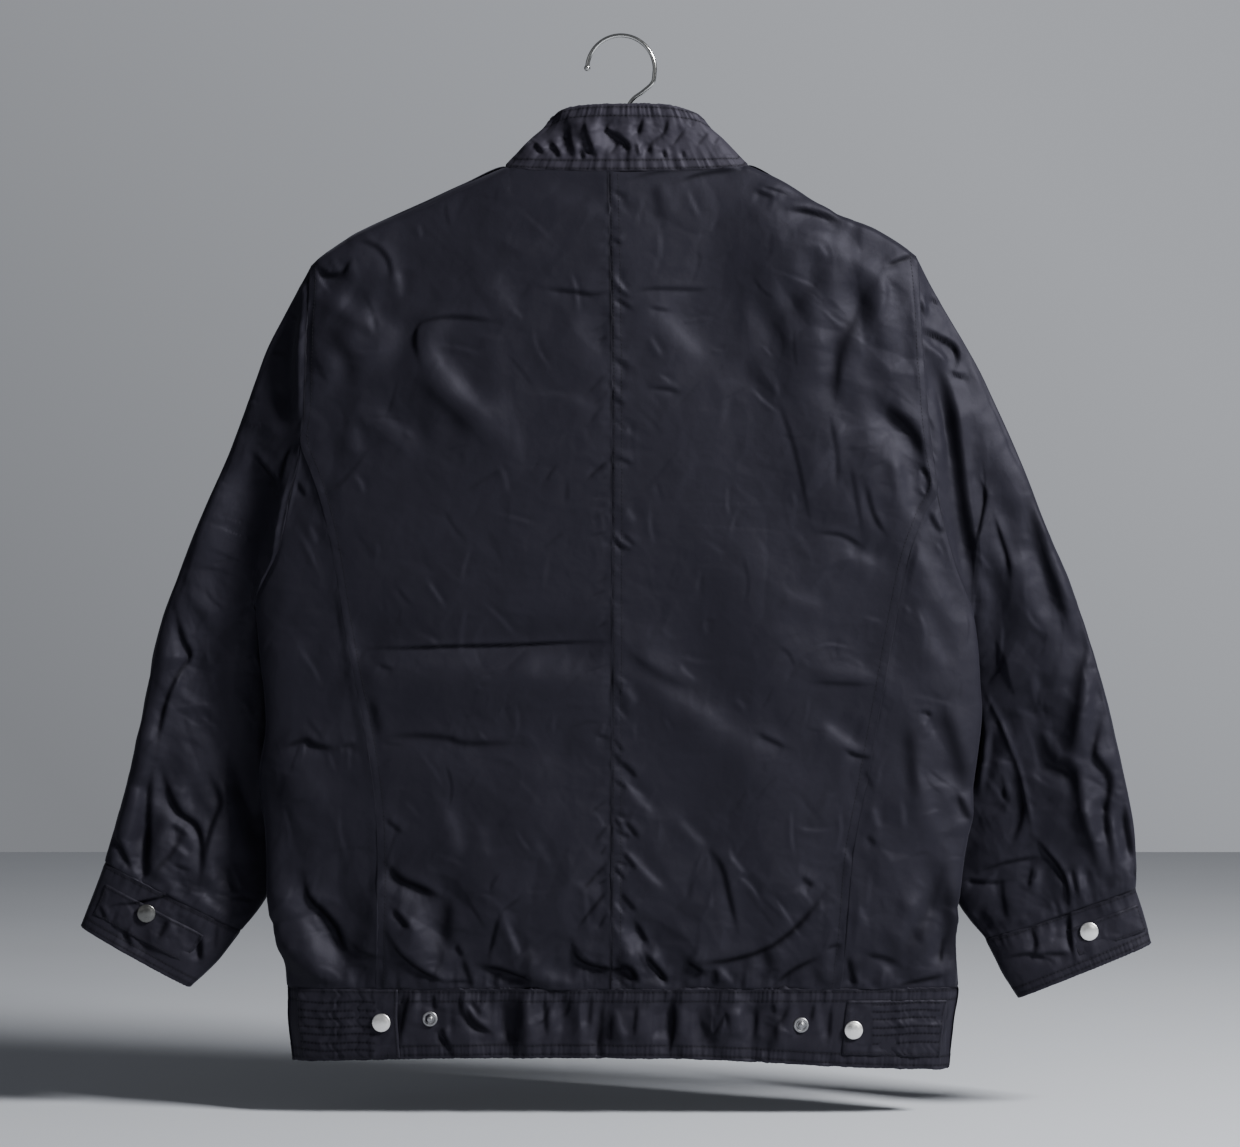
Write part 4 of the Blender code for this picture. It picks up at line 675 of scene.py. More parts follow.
def turnedEdge(points, normals, edge):
    # The cloth turned round its open edge and a little way up its inner side.
    if edge == "top":
        points, normals = points[::-1], normals[::-1]
    radius = cloth["hemTurn"]
    last, normal = points[-1], normals[-1]
    into = points[-2] - last
    into /= np.linalg.norm(into, axis=1, keepdims=True)
    rows = [points]
    centre = last - normal * radius
    for angle in cloth["hemAngles"]:
        turn = math.radians(angle)
        rows.append((centre + radius * (normal * math.cos(turn) - into * math.sin(turn)))[None])
    step = np.linalg.norm(points[-1] - points[-2], axis=1).mean()
    for back in range(1, max(int(cloth["hemDepth"] / step), 3)):
        rows.append((points[-1 - back] - normals[-1 - back] * 2 * radius)[None])
    points = np.concatenate(rows)
    return points[::-1] if edge == "top" else points


def tuckedEdge(points, normals, edge, depth):
    # Two more lines of points, which go under the piece on the other side of the seam.
    if edge in sides:
        points, normals = points.transpose(1, 0, 2), normals.transpose(1, 0, 2)
    if edge in ("top", "left"):
        points, normals = points[::-1], normals[::-1]
    out = points[-1] - points[-2]
    out /= np.linalg.norm(out, axis=1, keepdims=True)
    level = points[-1] + out * cloth["seamGap"]
    under = points[-1] + out * cloth["tuckOut"] - normals[-1] * depth
    points = np.concatenate([points, level[None], under[None]])
    if edge in ("top", "left"):
        points = points[::-1]
    return points.transpose(1, 0, 2) if edge in sides else points


def everywhere(x, z):
    return 1.0


def moveSideways(points, look):
    # Small shifts along X round a place, as seen from behind or in space, all in mm.
    for atX, atZ, spread, shift in look.get("shifts", ()):
        away = np.hypot(points[:, :, 0] * 1000 - atX, (points[:, :, 2] * 1000 - atZ) * 0.6)
        points[:, :, 0] += shift / 1000 * np.exp(-(away / spread) ** 2)
    for place, spread, shift in look.get("nudges", ()):
        away = np.linalg.norm(points * 1000 - np.array(place), axis=2)
        points[:, :, 0] += shift / 1000 * np.exp(-(away / spread) ** 2)


def creasedLift(look, points, normals):
    # Height of crumple, facets and creases, the broad slopes by themselves, and the painted shade of each
    # fold.
    x, z = points[:, :, 0] * 1000, points[:, :, 2] * 1000
    lift = crumpleLift(points) * look.get("crumple", 1.0)
    flatness = 1.0 if look["face"] else smoothStep((np.abs(normals[:, :, 1]) - 0.35) / 0.4)
    boost = look.get("boost", everywhere)(x, z)
    bent = x + 5 * np.sin(z / 23.0), z + 5 * np.sin(x / 19.0)
    for seed, spacing, height, area in look.get("facets", ()):
        lift += facetLift(*bent, seed, spacing, height) * area(x, z) * flatness
    shade, slopes = np.zeros(x.shape), np.zeros(x.shape)
    for table, share, mirrored in look.get("creases", ()):
        place = (-x, z + cloth["mirrorDrop"]) if mirrored else (x, z)
        slopes += share * creaseLift(*place, [row for row in table if row[0] >= cloth["broad"]])[0]
        height, core = creaseLift(*place, [row for row in table if row[0] < cloth["broad"]])
        lift += share * height * boost * flatness
        shade = np.maximum(shade, np.minimum(core * boost, cloth["darkest"]) * flatness)
    return lift, slopes, shade


def edgeHold(look, reach, shape):
    # How free the creases are near each edge, and how free the broad slopes are, which cross the side seams.
    calm, steady = np.ones(shape), np.ones(shape)
    for edge, kind in look["edges"].items():
        if kind == "fold":
            start, whole = cloth["foldHold"]
            held = smoothStep((reach[edge] + start) / whole)
        elif kind in ("seam", "neck"):
            least, whole = cloth["seamHold"]
            held = least + (1 - least) * smoothStep(reach[edge] / whole)
        else:
            continue
        calm *= held
        if kind == "fold" or edge in ("top", "bottom"):
            steady *= held
    return calm, steady


edging = {
    "wave": (0.75, 0.35, 13.0, 31.0),   # depth along a seam: mean, swing and the length in mm of two waves
    "ripple": (0.6, 0.47),              # a smaller ripple on the puckers: share and pitch
    "ribs": (0.45, 0.75, 0.3, 11),      # gathers between rows: uneven part, mean and swing of the rest, pitch
    "ribPitch": 1.45, "ribSlip": (1.1, 14),
}


def sewnEdge(look, edge, run, away, lift, shade):
    mean, swing, wave, slow = edging["wave"]
    share = look.get("seams", {}).get(edge, 1.0)
    share = share * (mean + swing * np.sin(run / wave + 2 * np.sin(run / slow)))
    drop = share * look.get("drops", {}).get(edge, 1.0) * cloth["seamDrop"]
    lift -= drop * np.clip(1 - away / cloth["seamRoll"], 0, 1) ** 2
    # Painted shade along the seam, as a dark line in its groove.
    most, reach = cloth["seamShade"]
    np.maximum(shade, most * share * np.clip(1 - away / reach, 0, 1), out=shade)


def laidEdge(look, away, lift, shade):
    drop = look["thick"]
    lift -= drop * (1 - np.sqrt(1 - np.clip(1 - away / drop, 0, 1) ** 2))
    # Painted shade along the rim of a laid piece, where its edge drops.
    np.maximum(shade, look["rim"] * np.clip(cloth["laidShade"] - away, 0, 1), out=shade)


def gatheredEdge(name, look, edge, run, away, lift, shade):
    if edge in look.get("laps", ()):
        lift += cloth["lapRise"] * (1 - smoothStep((away - cloth["lapWidth"]) / 2.0))
    if edge in look.get("puckers", {}):
        height, pitch, depth = look["puckers"][edge]
        small, tight = edging["ripple"]
        seed = sum(map(ord, name + edge))
        ripple = wobble(run, pitch, seed) + small * wobble(run, pitch * tight, seed + 1)
        lift += height * ripple * np.exp(-(away / depth) ** 2) * smoothStep(away / 2.0)
    if edge in look.get("ribs", {}):
        rise, pitch, depth = look["ribs"][edge]
        uneven, mean, swing, slow = edging["ribs"]
        slip = edging["ribSlip"][0] * wobble(run, edging["ribSlip"][1], 9)
        wave = np.sin(2 * math.pi * run / (pitch * edging["ribPitch"]) + slip)
        ribs = uneven * wobble(run, pitch, 7) + (mean + swing * wobble(run, slow, 8)) * wave
        lift += rise * ribs * (1 - smoothStep((away - depth) / 2.0)) * smoothStep(away / 1.5)
    for inset in look.get("stitches", {}).get(edge, ()):
        row = np.exp(-((away - inset) / cloth["threadRow"]) ** 2)
        lift -= cloth["threadSink"] * row
        # Painted shade along each row of stitches, where the thread pulls the cloth in.
        np.maximum(shade, look.get("rowShade", 0.2) * row, out=shade)


# elastic rows of the tabs: from and to in X, and the height of each row, in mm
shirring = {"left": (-263, -199, (-783, -790, -796, -803, -809, -816, -822)),
            "right": (203, 259, (-784, -790, -796, -803, -809, -816))}
shirr = {
    "sway": (0.7, 9.0), "half": 0.9, "sink": 0.22, "shade": (0.62, 0.25, 2.1),
    "puckers": ((0.22, 2.3, 31), (0.30, 6.0, 32)),      # height and pitch in mm, and seed
}


def shirredLift(look, x, z, lift, shade):
    low, high, rows = look["shirr"]
    inside = smoothStep((x - low + 2) / 4) * smoothStep((high - x + 2) / 4)
    sway, wave = shirr["sway"]
    mean, swing, pace = shirr["shade"]
    for level in rows:
        row = np.exp(-((z - level - sway * np.sin(x / wave)) / shirr["half"]) ** 2) * inside
        lift -= shirr["sink"] * row
        # Painted shade along each elastic row.
        np.maximum(shade, row * (mean + swing * np.sin(x * pace)), out=shade)
    bent = x + 2.5 * np.sin(z / 4.1) + 1.6 * np.sin(z / 1.9 + x / 7.0)
    lift += sum(height * inside * wobble(bent + 500, pitch, seed) for height, pitch, seed in shirr["puckers"])


shadePads = {"top": ((2, 0), (0, 0)), "bottom": ((0, 2), (0, 0)), "left": ((0, 0), (2, 0)),
             "right": ((0, 0), (0, 2))}


def finishEdges(look, shown, shade):
    # Open edges are turned round, and all the others but laid ones are tucked under.
    for edge, kind in look["edges"].items():
        if kind == "open":
            shown = turnedEdge(shown, gridNormals(shown, look["face"]), edge)
            more = len(shown) - len(shade)
            shade = np.pad(shade, ((more, 0) if edge == "top" else (0, more), (0, 0)))
        elif kind != "laid":
            depth = look.get("tucks", {}).get(edge, cloth["tuckIn"])
            shown = tuckedEdge(shown, gridNormals(shown, look["face"]), edge, depth)
            shade = np.pad(shade, shadePads[edge], mode="edge")
    return shown, shade


def makeSheet(name, look):
    points = refine(outerGrid(name), look["cell"])
    moveSideways(points, look)
    normals = gridNormals(points, look["face"])
    reach = edgeReach(points)
    x, z = points[:, :, 0] * 1000, points[:, :, 2] * 1000
    lift, slopes, shade = creasedLift(look, points, normals)
    calm, steady = edgeHold(look, reach, x.shape)
    if "quiet" in look:
        calm *= look["quiet"](x, z)
    lift = lift * calm + slopes * steady - look.get("sink", 0.0)
    runs = {"top": reach["left"][:1], "bottom": reach["left"][-1:], "left": reach["top"][:, :1],
            "right": reach["top"][:, -1:]}
    for edge, kind in look["edges"].items():
        if kind == "seam":
            sewnEdge(look, edge, runs[edge], reach[edge], lift, shade)
        elif kind == "laid":
            laidEdge(look, reach[edge], lift, shade)
        gatheredEdge(name, look, edge, runs[edge], reach[edge], lift, shade)
    if "shirr" in look:
        shirredLift(look, x, z, lift, shade)
    points = points + normals * (lift / 1000)[:, :, None]
    normals = gridNormals(points, look["face"])
    sheets[name] = {"points": points, "normals": normals, "reach": edgeReach(points)}
    shown, shade = finishEdges(look, points, shade)
    made = sheetObject(f"{name}_cloth", shown, look["face"])
    # foldShade carries the painted shade to the material.
    layer = made.data.attributes.new("foldShade", "FLOAT", "POINT")
    layer.data.foreach_set("value", shade.ravel())
    made.data.materials.append(look["material"])
    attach(made, "jacket")
    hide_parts(name)
    width, length, area = cuts[name]
    say(f"{name} {points.shape[:2]} cells, cut {width} x {length} mm")
    return len(made.data.polygons) * 2


def newMaterial(name, **values):
    material = bpy.data.materials.new(name)
    material.use_nodes = True
    shader = material.node_tree.nodes["Principled BSDF"]
    for socket, value in values.items():
        shader.inputs[socket.replace("_", " ")].default_value = value
    return material, material.node_tree, shader


def addNode(tree, kind, inputs=None, **values):
    node = tree.nodes.new(kind)
    for key, value in values.items():
        setattr(node, key, value)
    for socket, value in (inputs or {}).items():
        if isinstance(value, bpy.types.NodeSocket):
            tree.links.new(value, node.inputs[socket])
        else:
            node.inputs[socket].default_value = value
    return node


def objectPlace(tree):
    return addNode(tree, "ShaderNodeTexCoord").outputs["Object"]


def noiseOn(tree, place, scale, detail=2.0, output="Fac", **values):
    inputs = {"Vector": place, "Scale": scale, "Detail": detail, **values}
    return addNode(tree, "ShaderNodeTexNoise", inputs).outputs[output]


def mixed(tree, share, first, second):
    return addNode(tree, "ShaderNodeMix", {"Factor": share, 6: first, 7: second}, data_type="RGBA").outputs[2]


def spread(tree, value, low, high):
    inputs = {"Value": value, "To Min": low, "To Max": high}
    return addNode(tree, "ShaderNodeMapRange", inputs).outputs["Result"]


def bumped(tree, height, strength, distance, **under):
    inputs = {"Height": height, "Strength": strength, "Distance": distance, **under}
    return addNode(tree, "ShaderNodeBump", inputs).outputs["Normal"]


nylon = {
    "dark": (0.0068, 0.0065, 0.0103, 1), "pale": (0.0103, 0.0098, 0.0152, 1),
    # fold: near-black colour that painted shade mixes the base colour towards
    "fold": (0.0006, 0.0006, 0.0010, 1),
    "smooth": 0.54, "rough": 0.66, "gloss": 0.20, "paintedShadeGloss": 0.25,
    "sheenTint": (0.78, 0.78, 1.0, 1), "glossTint": (0.84, 0.82, 1.0, 1),
    "crumpleSize": 0.0070, "crumpleBump": (0.22, 0.0008),
    "foldSize": 0.020, "foldWarp": 0.035, "foldEdge": 0.12, "foldBump": (0.06, 0.0003),
    "weavePitch": 0.00055, "weaveBump": (0.18, 0.00012),
}


def nylonMaterial(name, dark, pale, sheen):
    material, tree, shader = newMaterial(name, Sheen_Weight=sheen, Sheen_Roughness=0.45,
                                         Specular_IOR_Level=nylon["gloss"], Sheen_Tint=nylon["sheenTint"],
                                         Specular_Tint=nylon["glossTint"])
    place = objectPlace(tree)
    flat = addNode(tree, "ShaderNodeUVMap", uv_map="cloth").outputs["UV"]
    # foldShade is painted shade: it mixes the base colour towards near-black in crease cores, seams, stitch
    # rows, laid rims and elastic rows.
    fold = addNode(tree, "ShaderNodeAttribute", attribute_name="foldShade").outputs["Fac"]
    cloudy = mixed(tree, noiseOn(tree, place, 26.0, 4.0), dark, pale)
    tree.links.new(mixed(tree, fold, cloudy, nylon["fold"]), shader.inputs["Base Color"])
    # Painted shade also takes gloss and sheen away.
    for socket, most in (("Specular IOR Level", nylon["gloss"]), ("Sheen Weight", sheen)):
        tree.links.new(spread(tree, fold, most, nylon["paintedShadeGloss"] * most), shader.inputs[socket])
    wear = noiseOn(tree, place, 60.0, 3.0)
    tree.links.new(spread(tree, wear, nylon["smooth"], nylon["rough"]), shader.inputs["Roughness"])
    bent = noiseOn(tree, place, 1 / nylon["foldSize"], output="Color")
    inputs = {"Factor": nylon["foldWarp"], 4: place, 5: bent}
    shifted = addNode(tree, "ShaderNodeMix", inputs, data_type="VECTOR").outputs[1]
    inputs = {"Vector": shifted, "Scale": 1 / nylon["foldSize"]}
    facets = addNode(tree, "ShaderNodeTexVoronoi", inputs, feature="DISTANCE_TO_EDGE").outputs["Distance"]
    inputs = {"Value": facets, "From Max": nylon["foldEdge"]}
    crease = addNode(tree, "ShaderNodeMapRange", inputs).outputs["Result"]
    ripple = noiseOn(tree, place, 1 / nylon["crumpleSize"], 3.0, Roughness=0.55)
    normal = bumped(tree, ripple, *nylon["crumpleBump"])
    normal = bumped(tree, crease, *nylon["foldBump"], Normal=normal)
    turn = 2 * math.pi / (20 * nylon["weavePitch"])
    inputs = {"Vector": flat, "Scale": turn}
    threads = {index: addNode(tree, "ShaderNodeTexWave", inputs, bands_direction=way).outputs["Fac"]
               for index, way in enumerate("XY")}
    weave = addNode(tree, "ShaderNodeMath", threads, operation="MULTIPLY").outputs[0]
    tree.links.new(bumped(tree, weave, *nylon["weaveBump"], Normal=normal), shader.inputs["Normal"])
    return material


def tonedMaterial(name, dark, pale, scale, detail, **values):
    # A colour that wanders between two others, and the noise it follows.
    material, tree, shader = newMaterial(name, **values)
    tone = noiseOn(tree, objectPlace(tree), scale, detail)
    tree.links.new(mixed(tree, tone, dark, pale), shader.inputs["Base Color"])
    return material, tree, shader, tone


def metalMaterial(name, dark, pale, roughness, scratch):
    material, tree, shader, tone = tonedMaterial(name, dark, pale, 420.0, 5.0, Metallic=1.0)
    tree.links.new(spread(tree, tone, roughness * 0.8, roughness * 1.25), shader.inputs["Roughness"])
    marks = noiseOn(tree, objectPlace(tree), 2600.0)
    tree.links.new(bumped(tree, marks, scratch, 0.00005), shader.inputs["Normal"])
    return material


def plainMaterial(name, dark, pale, roughness, size, relief):
    material, tree, shader, tone = tonedMaterial(name, dark, pale, 1 / size, 5.0)
    tree.links.new(spread(tree, tone, roughness * 0.85, roughness * 1.15), shader.inputs["Roughness"])
    tree.links.new(bumped(tree, tone, relief, 0.0003), shader.inputs["Normal"])
    return material


shellCloth = nylonMaterial("shellNylon", nylon["dark"], nylon["pale"], 0.05)
bandCloth = nylonMaterial("bandNylon", (0.0078, 0.0073, 0.0112, 1), (0.0118, 0.0110, 0.0166, 1), 0.06)
# The collar is the same nylon as the bands, made lighter as painted light where it tilts up to the key.
litCollarCloth = nylonMaterial("collarNylonPaintedLight", (0.0155, 0.0142, 0.0203, 1), (0.0235, 0.0213, 0.0300, 1), 0.10)
thread = tonedMaterial("blackThread", (0.004, 0.004, 0.006, 1), (0.009, 0.009, 0.013, 1), 900.0, 2.0,
                       Roughness=0.7, Specular_IOR_Level=0.2)[0]
snapMetal = metalMaterial("satinNickel", (0.84, 0.83, 0.81, 1), (0.95, 0.94, 0.92, 1), 0.36, 0.3)
studMetal = metalMaterial("dullNickel", (0.26, 0.26, 0.27, 1), (0.40, 0.40, 0.41, 1), 0.38, 0.3)
# A darker nickel for the left cuff's cap, painted shade for the shadow that it lies in.
shadedCapMetal = metalMaterial("shadedCapNickel", (0.13, 0.13, 0.125, 1), (0.22, 0.22, 0.21, 1), 0.30, 0.3)
hookChrome = metalMaterial("hookChrome", (0.52, 0.52, 0.50, 1), (0.72, 0.72, 0.70, 1), 0.16, 0.12)
zipMetal = metalMaterial("zipMetal", (0.16, 0.16, 0.17, 1), (0.26, 0.26, 0.27, 1), 0.34, 0.3)
zipTape = plainMaterial("zipTape", (0.013, 0.013, 0.015, 1), (0.024, 0.024, 0.027, 1), 0.75, 0.0009, 0.6)
hangerPlastic = plainMaterial("hangerPlastic", (0.040, 0.036, 0.032, 1), (0.060, 0.054, 0.047, 1),
                              0.45, 0.004, 0.25)

tabBoxes = {"left": (-266, -180, -835, -772), "right": (172, 262, -826, -778)}


def quietUnderTabs(x, z):
    share = np.ones(x.shape)
    for low, high, bottom, top in tabBoxes.values():
        inside = (x > low - 2) & (x < high + 2) & (z > bottom - 2) & (z < top + 2)
        share = np.where(inside, 0.25, share)
    return share


def bodyArea(x, z):
    # Facets are stronger low down and at the shoulders.
    low = smoothStep((-z - 560) / 160)
    right = smoothStep((x - 90) / 110) * smoothStep((z + 480) / 120)
    left = smoothStep((-x - 150) / 80) * smoothStep((z + 470) / 120)
    return 0.30 + 1.1 * low + 0.65 * right + 0.5 * left


def sleeveArea(x, z):
    return 0.55 + 0.6 * smoothStep((-z - 380) / 150)


def nearHem(x, z):
    return 1.0 + 0.3 * smoothStep((-z - 640) / 80)


def softer(x, z):
    return 0.75


def seamStrokes(seed, count):
    # Short slanting puckers on both sides of the centre-back seam.
    source = np.random.default_rng(seed)
    rows = []
    for step in range(count):
        z = -128 - step * 640 / count + source.normal(0, 5)
        side = 1 if source.random() < 0.5 else -1
        reach, drop = source.uniform(7, 19), source.uniform(2, 15)
        depth = source.choice([-1.8, -1.2, 1.3, 1.9]) * source.uniform(0.7, 1.2)
        rows.append((source.uniform(2.4, 3.6), depth, 0.0, -9 + side * 2.5, z, -9 + side * reach, z - drop))
    return rows


def gatherFolds(seed, count, start, end, lengths):
    # Folds that run up from a gathered seam, between its two ends given as x and z.
    source = np.random.default_rng(seed)
    rows = []
    for step in range(count):
        share = (step + source.uniform(0.1, 0.9)) / count
        x, z = start[0] + share * (end[0] - start[0]), start[1] + share * (end[1] - start[1])
        length, lean = source.uniform(*lengths), source.normal(0, 0.55)
        bend = source.normal(0, 0.2) * length
        depth = source.choice([-3.2, -2.4, -1.6, 1.6, 2.2]) * source.uniform(0.6, 1.1)
        width = source.uniform(5.0, 9.5)
        rows.append((width, depth, 0.0, x, z + 3, x + lean * length * 0.5 + bend, z + length * 0.5,
                     x + lean * length, z + length))
    return rows


def around(top, bottom, left, right):
    return {"top": top, "bottom": bottom, "left": left, "right": right}


# facets: seed, spacing and height in mm, and how strong they are where
bodyFacets = [(21, 34, 1.05, bodyArea), (22, 15, 0.38, bodyArea), (29, 8, 0.10, bodyArea)]
sleeveFacets = [(23, 26, 1.3, sleeveArea), (24, 12, 0.40, sleeveArea), (30, 7, 0.10, sleeveArea)]
bandFacets = [(25, 15, 0.45, everywhere), (26, 8, 0.18, everywhere)]
tabFacets = [(27, 12, 0.45, everywhere), (28, 5, 0.20, everywhere)]
sleeveShifts = {"left": [(-299, -468, 32, 7.5)], "right": [(287, -463, 30, -5.5)]}
hemFolds = gatherFolds(15, 34, (-285, -776), (285, -778), (12, 52))
wristFolds = (gatherFolds(16, 9, (-415, -672), (-315, -722), (16, 50))
              + gatherFolds(17, 10, (298, -730), (410, -693), (16, 50)))
backStray = seamStrokes(14, 84) + strayCreases(11, 300, (-290, 290, -770, -130), 1.25)
sleeveStray = (strayCreases(12, 130, (-420, -240, -710, -200), 1.3)
               + strayCreases(13, 130, (240, 420, -720, -190), 1.3))

shell = {"material": shellCloth, "slot": "shell_cloth", "held": "hung"}
body = {**shell, "boost": nearHem, "facets": bodyFacets}
bodyBack = {**body, "face": -1, "tucks": {"bottom": 0.004},
            "creases": [(backCreases, 1.0, False), (backStray, 0.8, False), (hemFolds, 0.9, False)]}
bodyFront = {**body, "cell": 2.5, "face": 1, "restsOn": ["hanger_arms"],
             "creases": [(backCreases, 0.9, True), (backStray, 0.8, True), (hemFolds, 0.9, True)]}
sleeveBack = {**shell, "cell": 1.6, "face": -1, "facets": sleeveFacets,
              "creases": [(sleeveCreases, 1.3, False), (sleeveStray, 0.8, False), (wristFolds, 0.8, False)],
              "edges": around("seam", "seam", "fold", "fold"),
              "puckers": {"top": (0.3, 6, 10), "bottom": (0.5, 7, 14)}}
sleeveFront = {**sleeveBack, "cell": 2.5, "face": 1, "puckers": {"bottom": (0.5, 7, 14)},
               "creases": [(sleeveCreases, 0.8, True), (sleeveStray, 0.8, True), (wristFolds, 0.8, True)]}
band = {"material": bandCloth, "slot": "band_cloth", "held": "gathered", "facets": bandFacets,
        "drops": {"top": 0.15}, "tucks": {"top": 0.004, "bottom": 0.003}}
waist = {**band, "edges": around("seam", "open", "fold", "fold"),
         "stitches": {"top": (2.0, 9.5), "bottom": (2.4, 9.8)}}
cuff = {**band, "edges": around("seam", "open", "fold", "fold"), "puckers": {"top": (0.4, 5, 10)},
        "seams": {"top": 0.45}, "ribs": {"bottom": (0.24, 2.4, 8.0)}, "rowShade": 0.4,
        "stitches": {"top": (2.0,), "bottom": (2.4, 8.0)}}
tab = {**band, "cell": 1.0, "face": -1, "crumple": 0.3, "edges": around("laid", "laid", "laid", "laid"),
       "facets": tabFacets, "rowShade": 0.25, "thick": 1.1, "sink": 0.9, "held": "laid",
       "stitches": around((2.6,), (2.6,), (2.6,), (2.6,))}

pieces = {
    "back_left": {**bodyBack, "cell": 1.55, "edges": around("neck", "seam", "seam", "seam"),
                  "seams": {"left": 0.2, "bottom": 0.5}, "drops": {"right": 0.15, "left": 0.6},
                  "puckers": {"left": (0.10, 7, 9), "right": (0.22, 6, 9), "bottom": (0.40, 7, 14)},
                  "rowShade": 0.07, "stitches": {"left": (6.4,)}, "restsOn": ["hanger_arms"]},
    "back_right": {**bodyBack, "cell": 1.55, "edges": around("neck", "seam", "seam", "seam"),
                   "laps": ("left",), "seams": {"right": 0.2, "bottom": 0.5}, "drops": {"right": 0.1},
                   "puckers": {"left": (0.24, 6, 9), "right": (0.10, 7, 9), "bottom": (0.40, 7, 14)},
                   "rowShade": 0.10, "stitches": {"left": (2.0, 8.0), "right": (6.4,)},
                   "restsOn": ["hanger_arms"]},
    "side_left": {**bodyBack, "cell": 1.6, "edges": around("seam", "seam", "fold", "seam"),
                  "seams": {"right": 0.2, "bottom": 0.5}, "drops": {"right": 0.1},
                  "puckers": {"right": (0.10, 7, 8), "bottom": (0.4, 7, 13)}},
    "side_right": {**bodyBack, "cell": 1.6, "edges": around("seam", "seam", "seam", "fold"),
                   "seams": {"left": 0.2, "bottom": 0.5},
                   "puckers": {"left": (0.10, 7, 8), "bottom": (0.4, 7, 13)}},
}
zipEdge = {"left": "right", "right": "left"}
for side in sides:
    pieces[f"sleeve_{side}_back"] = {**sleeveBack, "shifts": sleeveShifts[side]}
for side, edge in zipEdge.items():
    pieces[f"front_{side}"] = {**bodyFront, "edges": {**around("fold", "seam", "fold", "fold"), edge: "seam"},
                               "puckers": {edge: (0.4, 8, 12), "bottom": (0.5, 7, 16)},
                               "stitches": {edge: (7.0,)}}
for side in sides:
    pieces[f"sleeve_{side}_front"] = {**sleeveFront, "shifts": sleeveShifts[side]}
pieces["waist_back"] = {
    **waist, "cell": 1.2, "face": -1, "creases": [(bandCreases, 1.0, False)], "crumple": 0.5,
    "quiet": quietUnderTabs, "puckers": {"top": (0.4, 5, 12), "bottom": (0.4, 5, 12)}, "rowShade": 0.45,
    "seams": {"top": 0.5}, "ribs": {"top": (0.24, 2.4, 9.5), "bottom": (0.24, 2.4, 9.0)}}
for side, edge in zipEdge.items():
    pieces[f"waist_front_{side}"] = {**waist, "cell": 1.8, "face": 1, "crumple": 0.7,
                                     "edges": {**waist["edges"], edge: "seam"},
                                     "puckers": {"top": (0.6, 6, 14), "bottom": (0.6, 6, 14)}}
# The collar wears the lighter nylon, painted light.
pieces["collar"] = {
    **band, "material": litCollarCloth, "cell": 1.2, "face": 0, "boost": softer, "crumple": 0.6,
    "nudges": [((-66.4, 6.4, -70.2), 9, 5.5), ((75.5, 6.6, -70.2), 9, -6.5)],
    "creases": [(collarCreases, 1.3, False)], "edges": around("open", "seam", "seam", "seam"),
    "ribs": {"top": (0.22, 2.4, 9.5), "bottom": (0.22, 2.4, 9.0)}, "rowShade": 0.5,
    "puckers": {"top": (0.5, 6, 16), "bottom": (0.5, 6, 16)},
    "stitches": {"top": (2.4, 9.5), "bottom": (2.0, 9.0)}}
for side in sides:
    pieces[f"cuff_{side}_back"] = {**cuff, "cell": 1.3, "face": -1, "crumple": 0.7,
                                   "creases": [(cuffCreases, 1.15, False)]}
for side in sides:
    pieces[f"cuff_{side}_front"] = {**cuff, "cell": 1.7, "face": 1, "crumple": 0.9}
for side in sides:
    pieces[f"waist_tab_{side}"] = {**tab, "shirr": shirring[side], "rim": 0.12, "restsOn": ["waist_back"]}
    pieces[f"cuff_tab_{side}"] = {**tab, "creases": [(cuffCreases, 0.7, False)], "rim": 0.25,
                                  "restsOn": [f"cuff_{side}_back"]}
triangles = sum(makeSheet(name, look) for name, look in pieces.items())
say(f"cloth made, {triangles} triangles")


def stitchTemplate():
    bm = bmesh.new()
    bmesh.ops.create_uvsphere(bm, u_segments=5, v_segments=3, radius=1.0)
    turn = Matrix.Rotation(math.pi / 2, 4, "Y")
    size = Matrix.Diagonal((cloth["threadLength"] / 2, cloth["threadThick"], cloth["threadThick"], 1))
    bmesh.ops.transform(bm, matrix=size @ turn, verts=bm.verts)
    bm.verts.ensure_lookup_table()
    verts = np.array([tuple(vert.co) for vert in bm.verts])
    faces = [[vert.index for vert in polygon.verts] for polygon in bm.faces]
    bm.free()
    return verts, faces


stitchVerts, stitchFaces = stitchTemplate()


def insetRow(sheet, edge, inset):
    # The line that runs this far in from an edge, and the way that the cloth faces along it.
    points, normals, reach = sheet["points"], sheet["normals"], sheet["reach"][edge]
    if edge in sides:
        points, normals, reach = points.transpose(1, 0, 2), normals.transpose(1, 0, 2), reach.T
    path, facing = [], []
    for col in range(points.shape[1]):
        away = reach[:, col]
        order = np.argsort(away)
        row = np.interp(inset, away[order], order)
        low = int(min(row, len(points) - 2))
        part = row - low
        path.append(points[low, col] * (1 - part) + points[low + 1, col] * part)
        facing.append(normals[low, col])
    return np.array(path), np.array(facing)


def pathReach(path):
    return np.concatenate([[0.0], np.cumsum(np.linalg.norm(np.diff(path, axis=0), axis=1))])


def readAlong(values, spots, reach):
    return np.stack([np.interp(spots, reach, values[:, axis]) for axis in range(3)], axis=1)


def stitchPlaces(path, facing):
    reach = pathReach(path)
    spots = np.arange(cloth["stitchPitch"], reach[-1] - cloth["stitchPitch"] / 2, cloth["stitchPitch"])
    centre, normal = readAlong(path, spots, reach), readAlong(facing, spots, reach)
    ahead = readAlong(path, spots + 0.001, reach) - readAlong(path, spots - 0.001, reach)
    ahead /= np.linalg.norm(ahead, axis=1, keepdims=True)
    across = np.cross(normal, ahead)
    across /= np.linalg.norm(across, axis=1, keepdims=True)
    normal = np.cross(ahead, across)
    return centre + normal * cloth["threadThick"] * 0.35, np.stack([ahead, across, normal], axis=2)


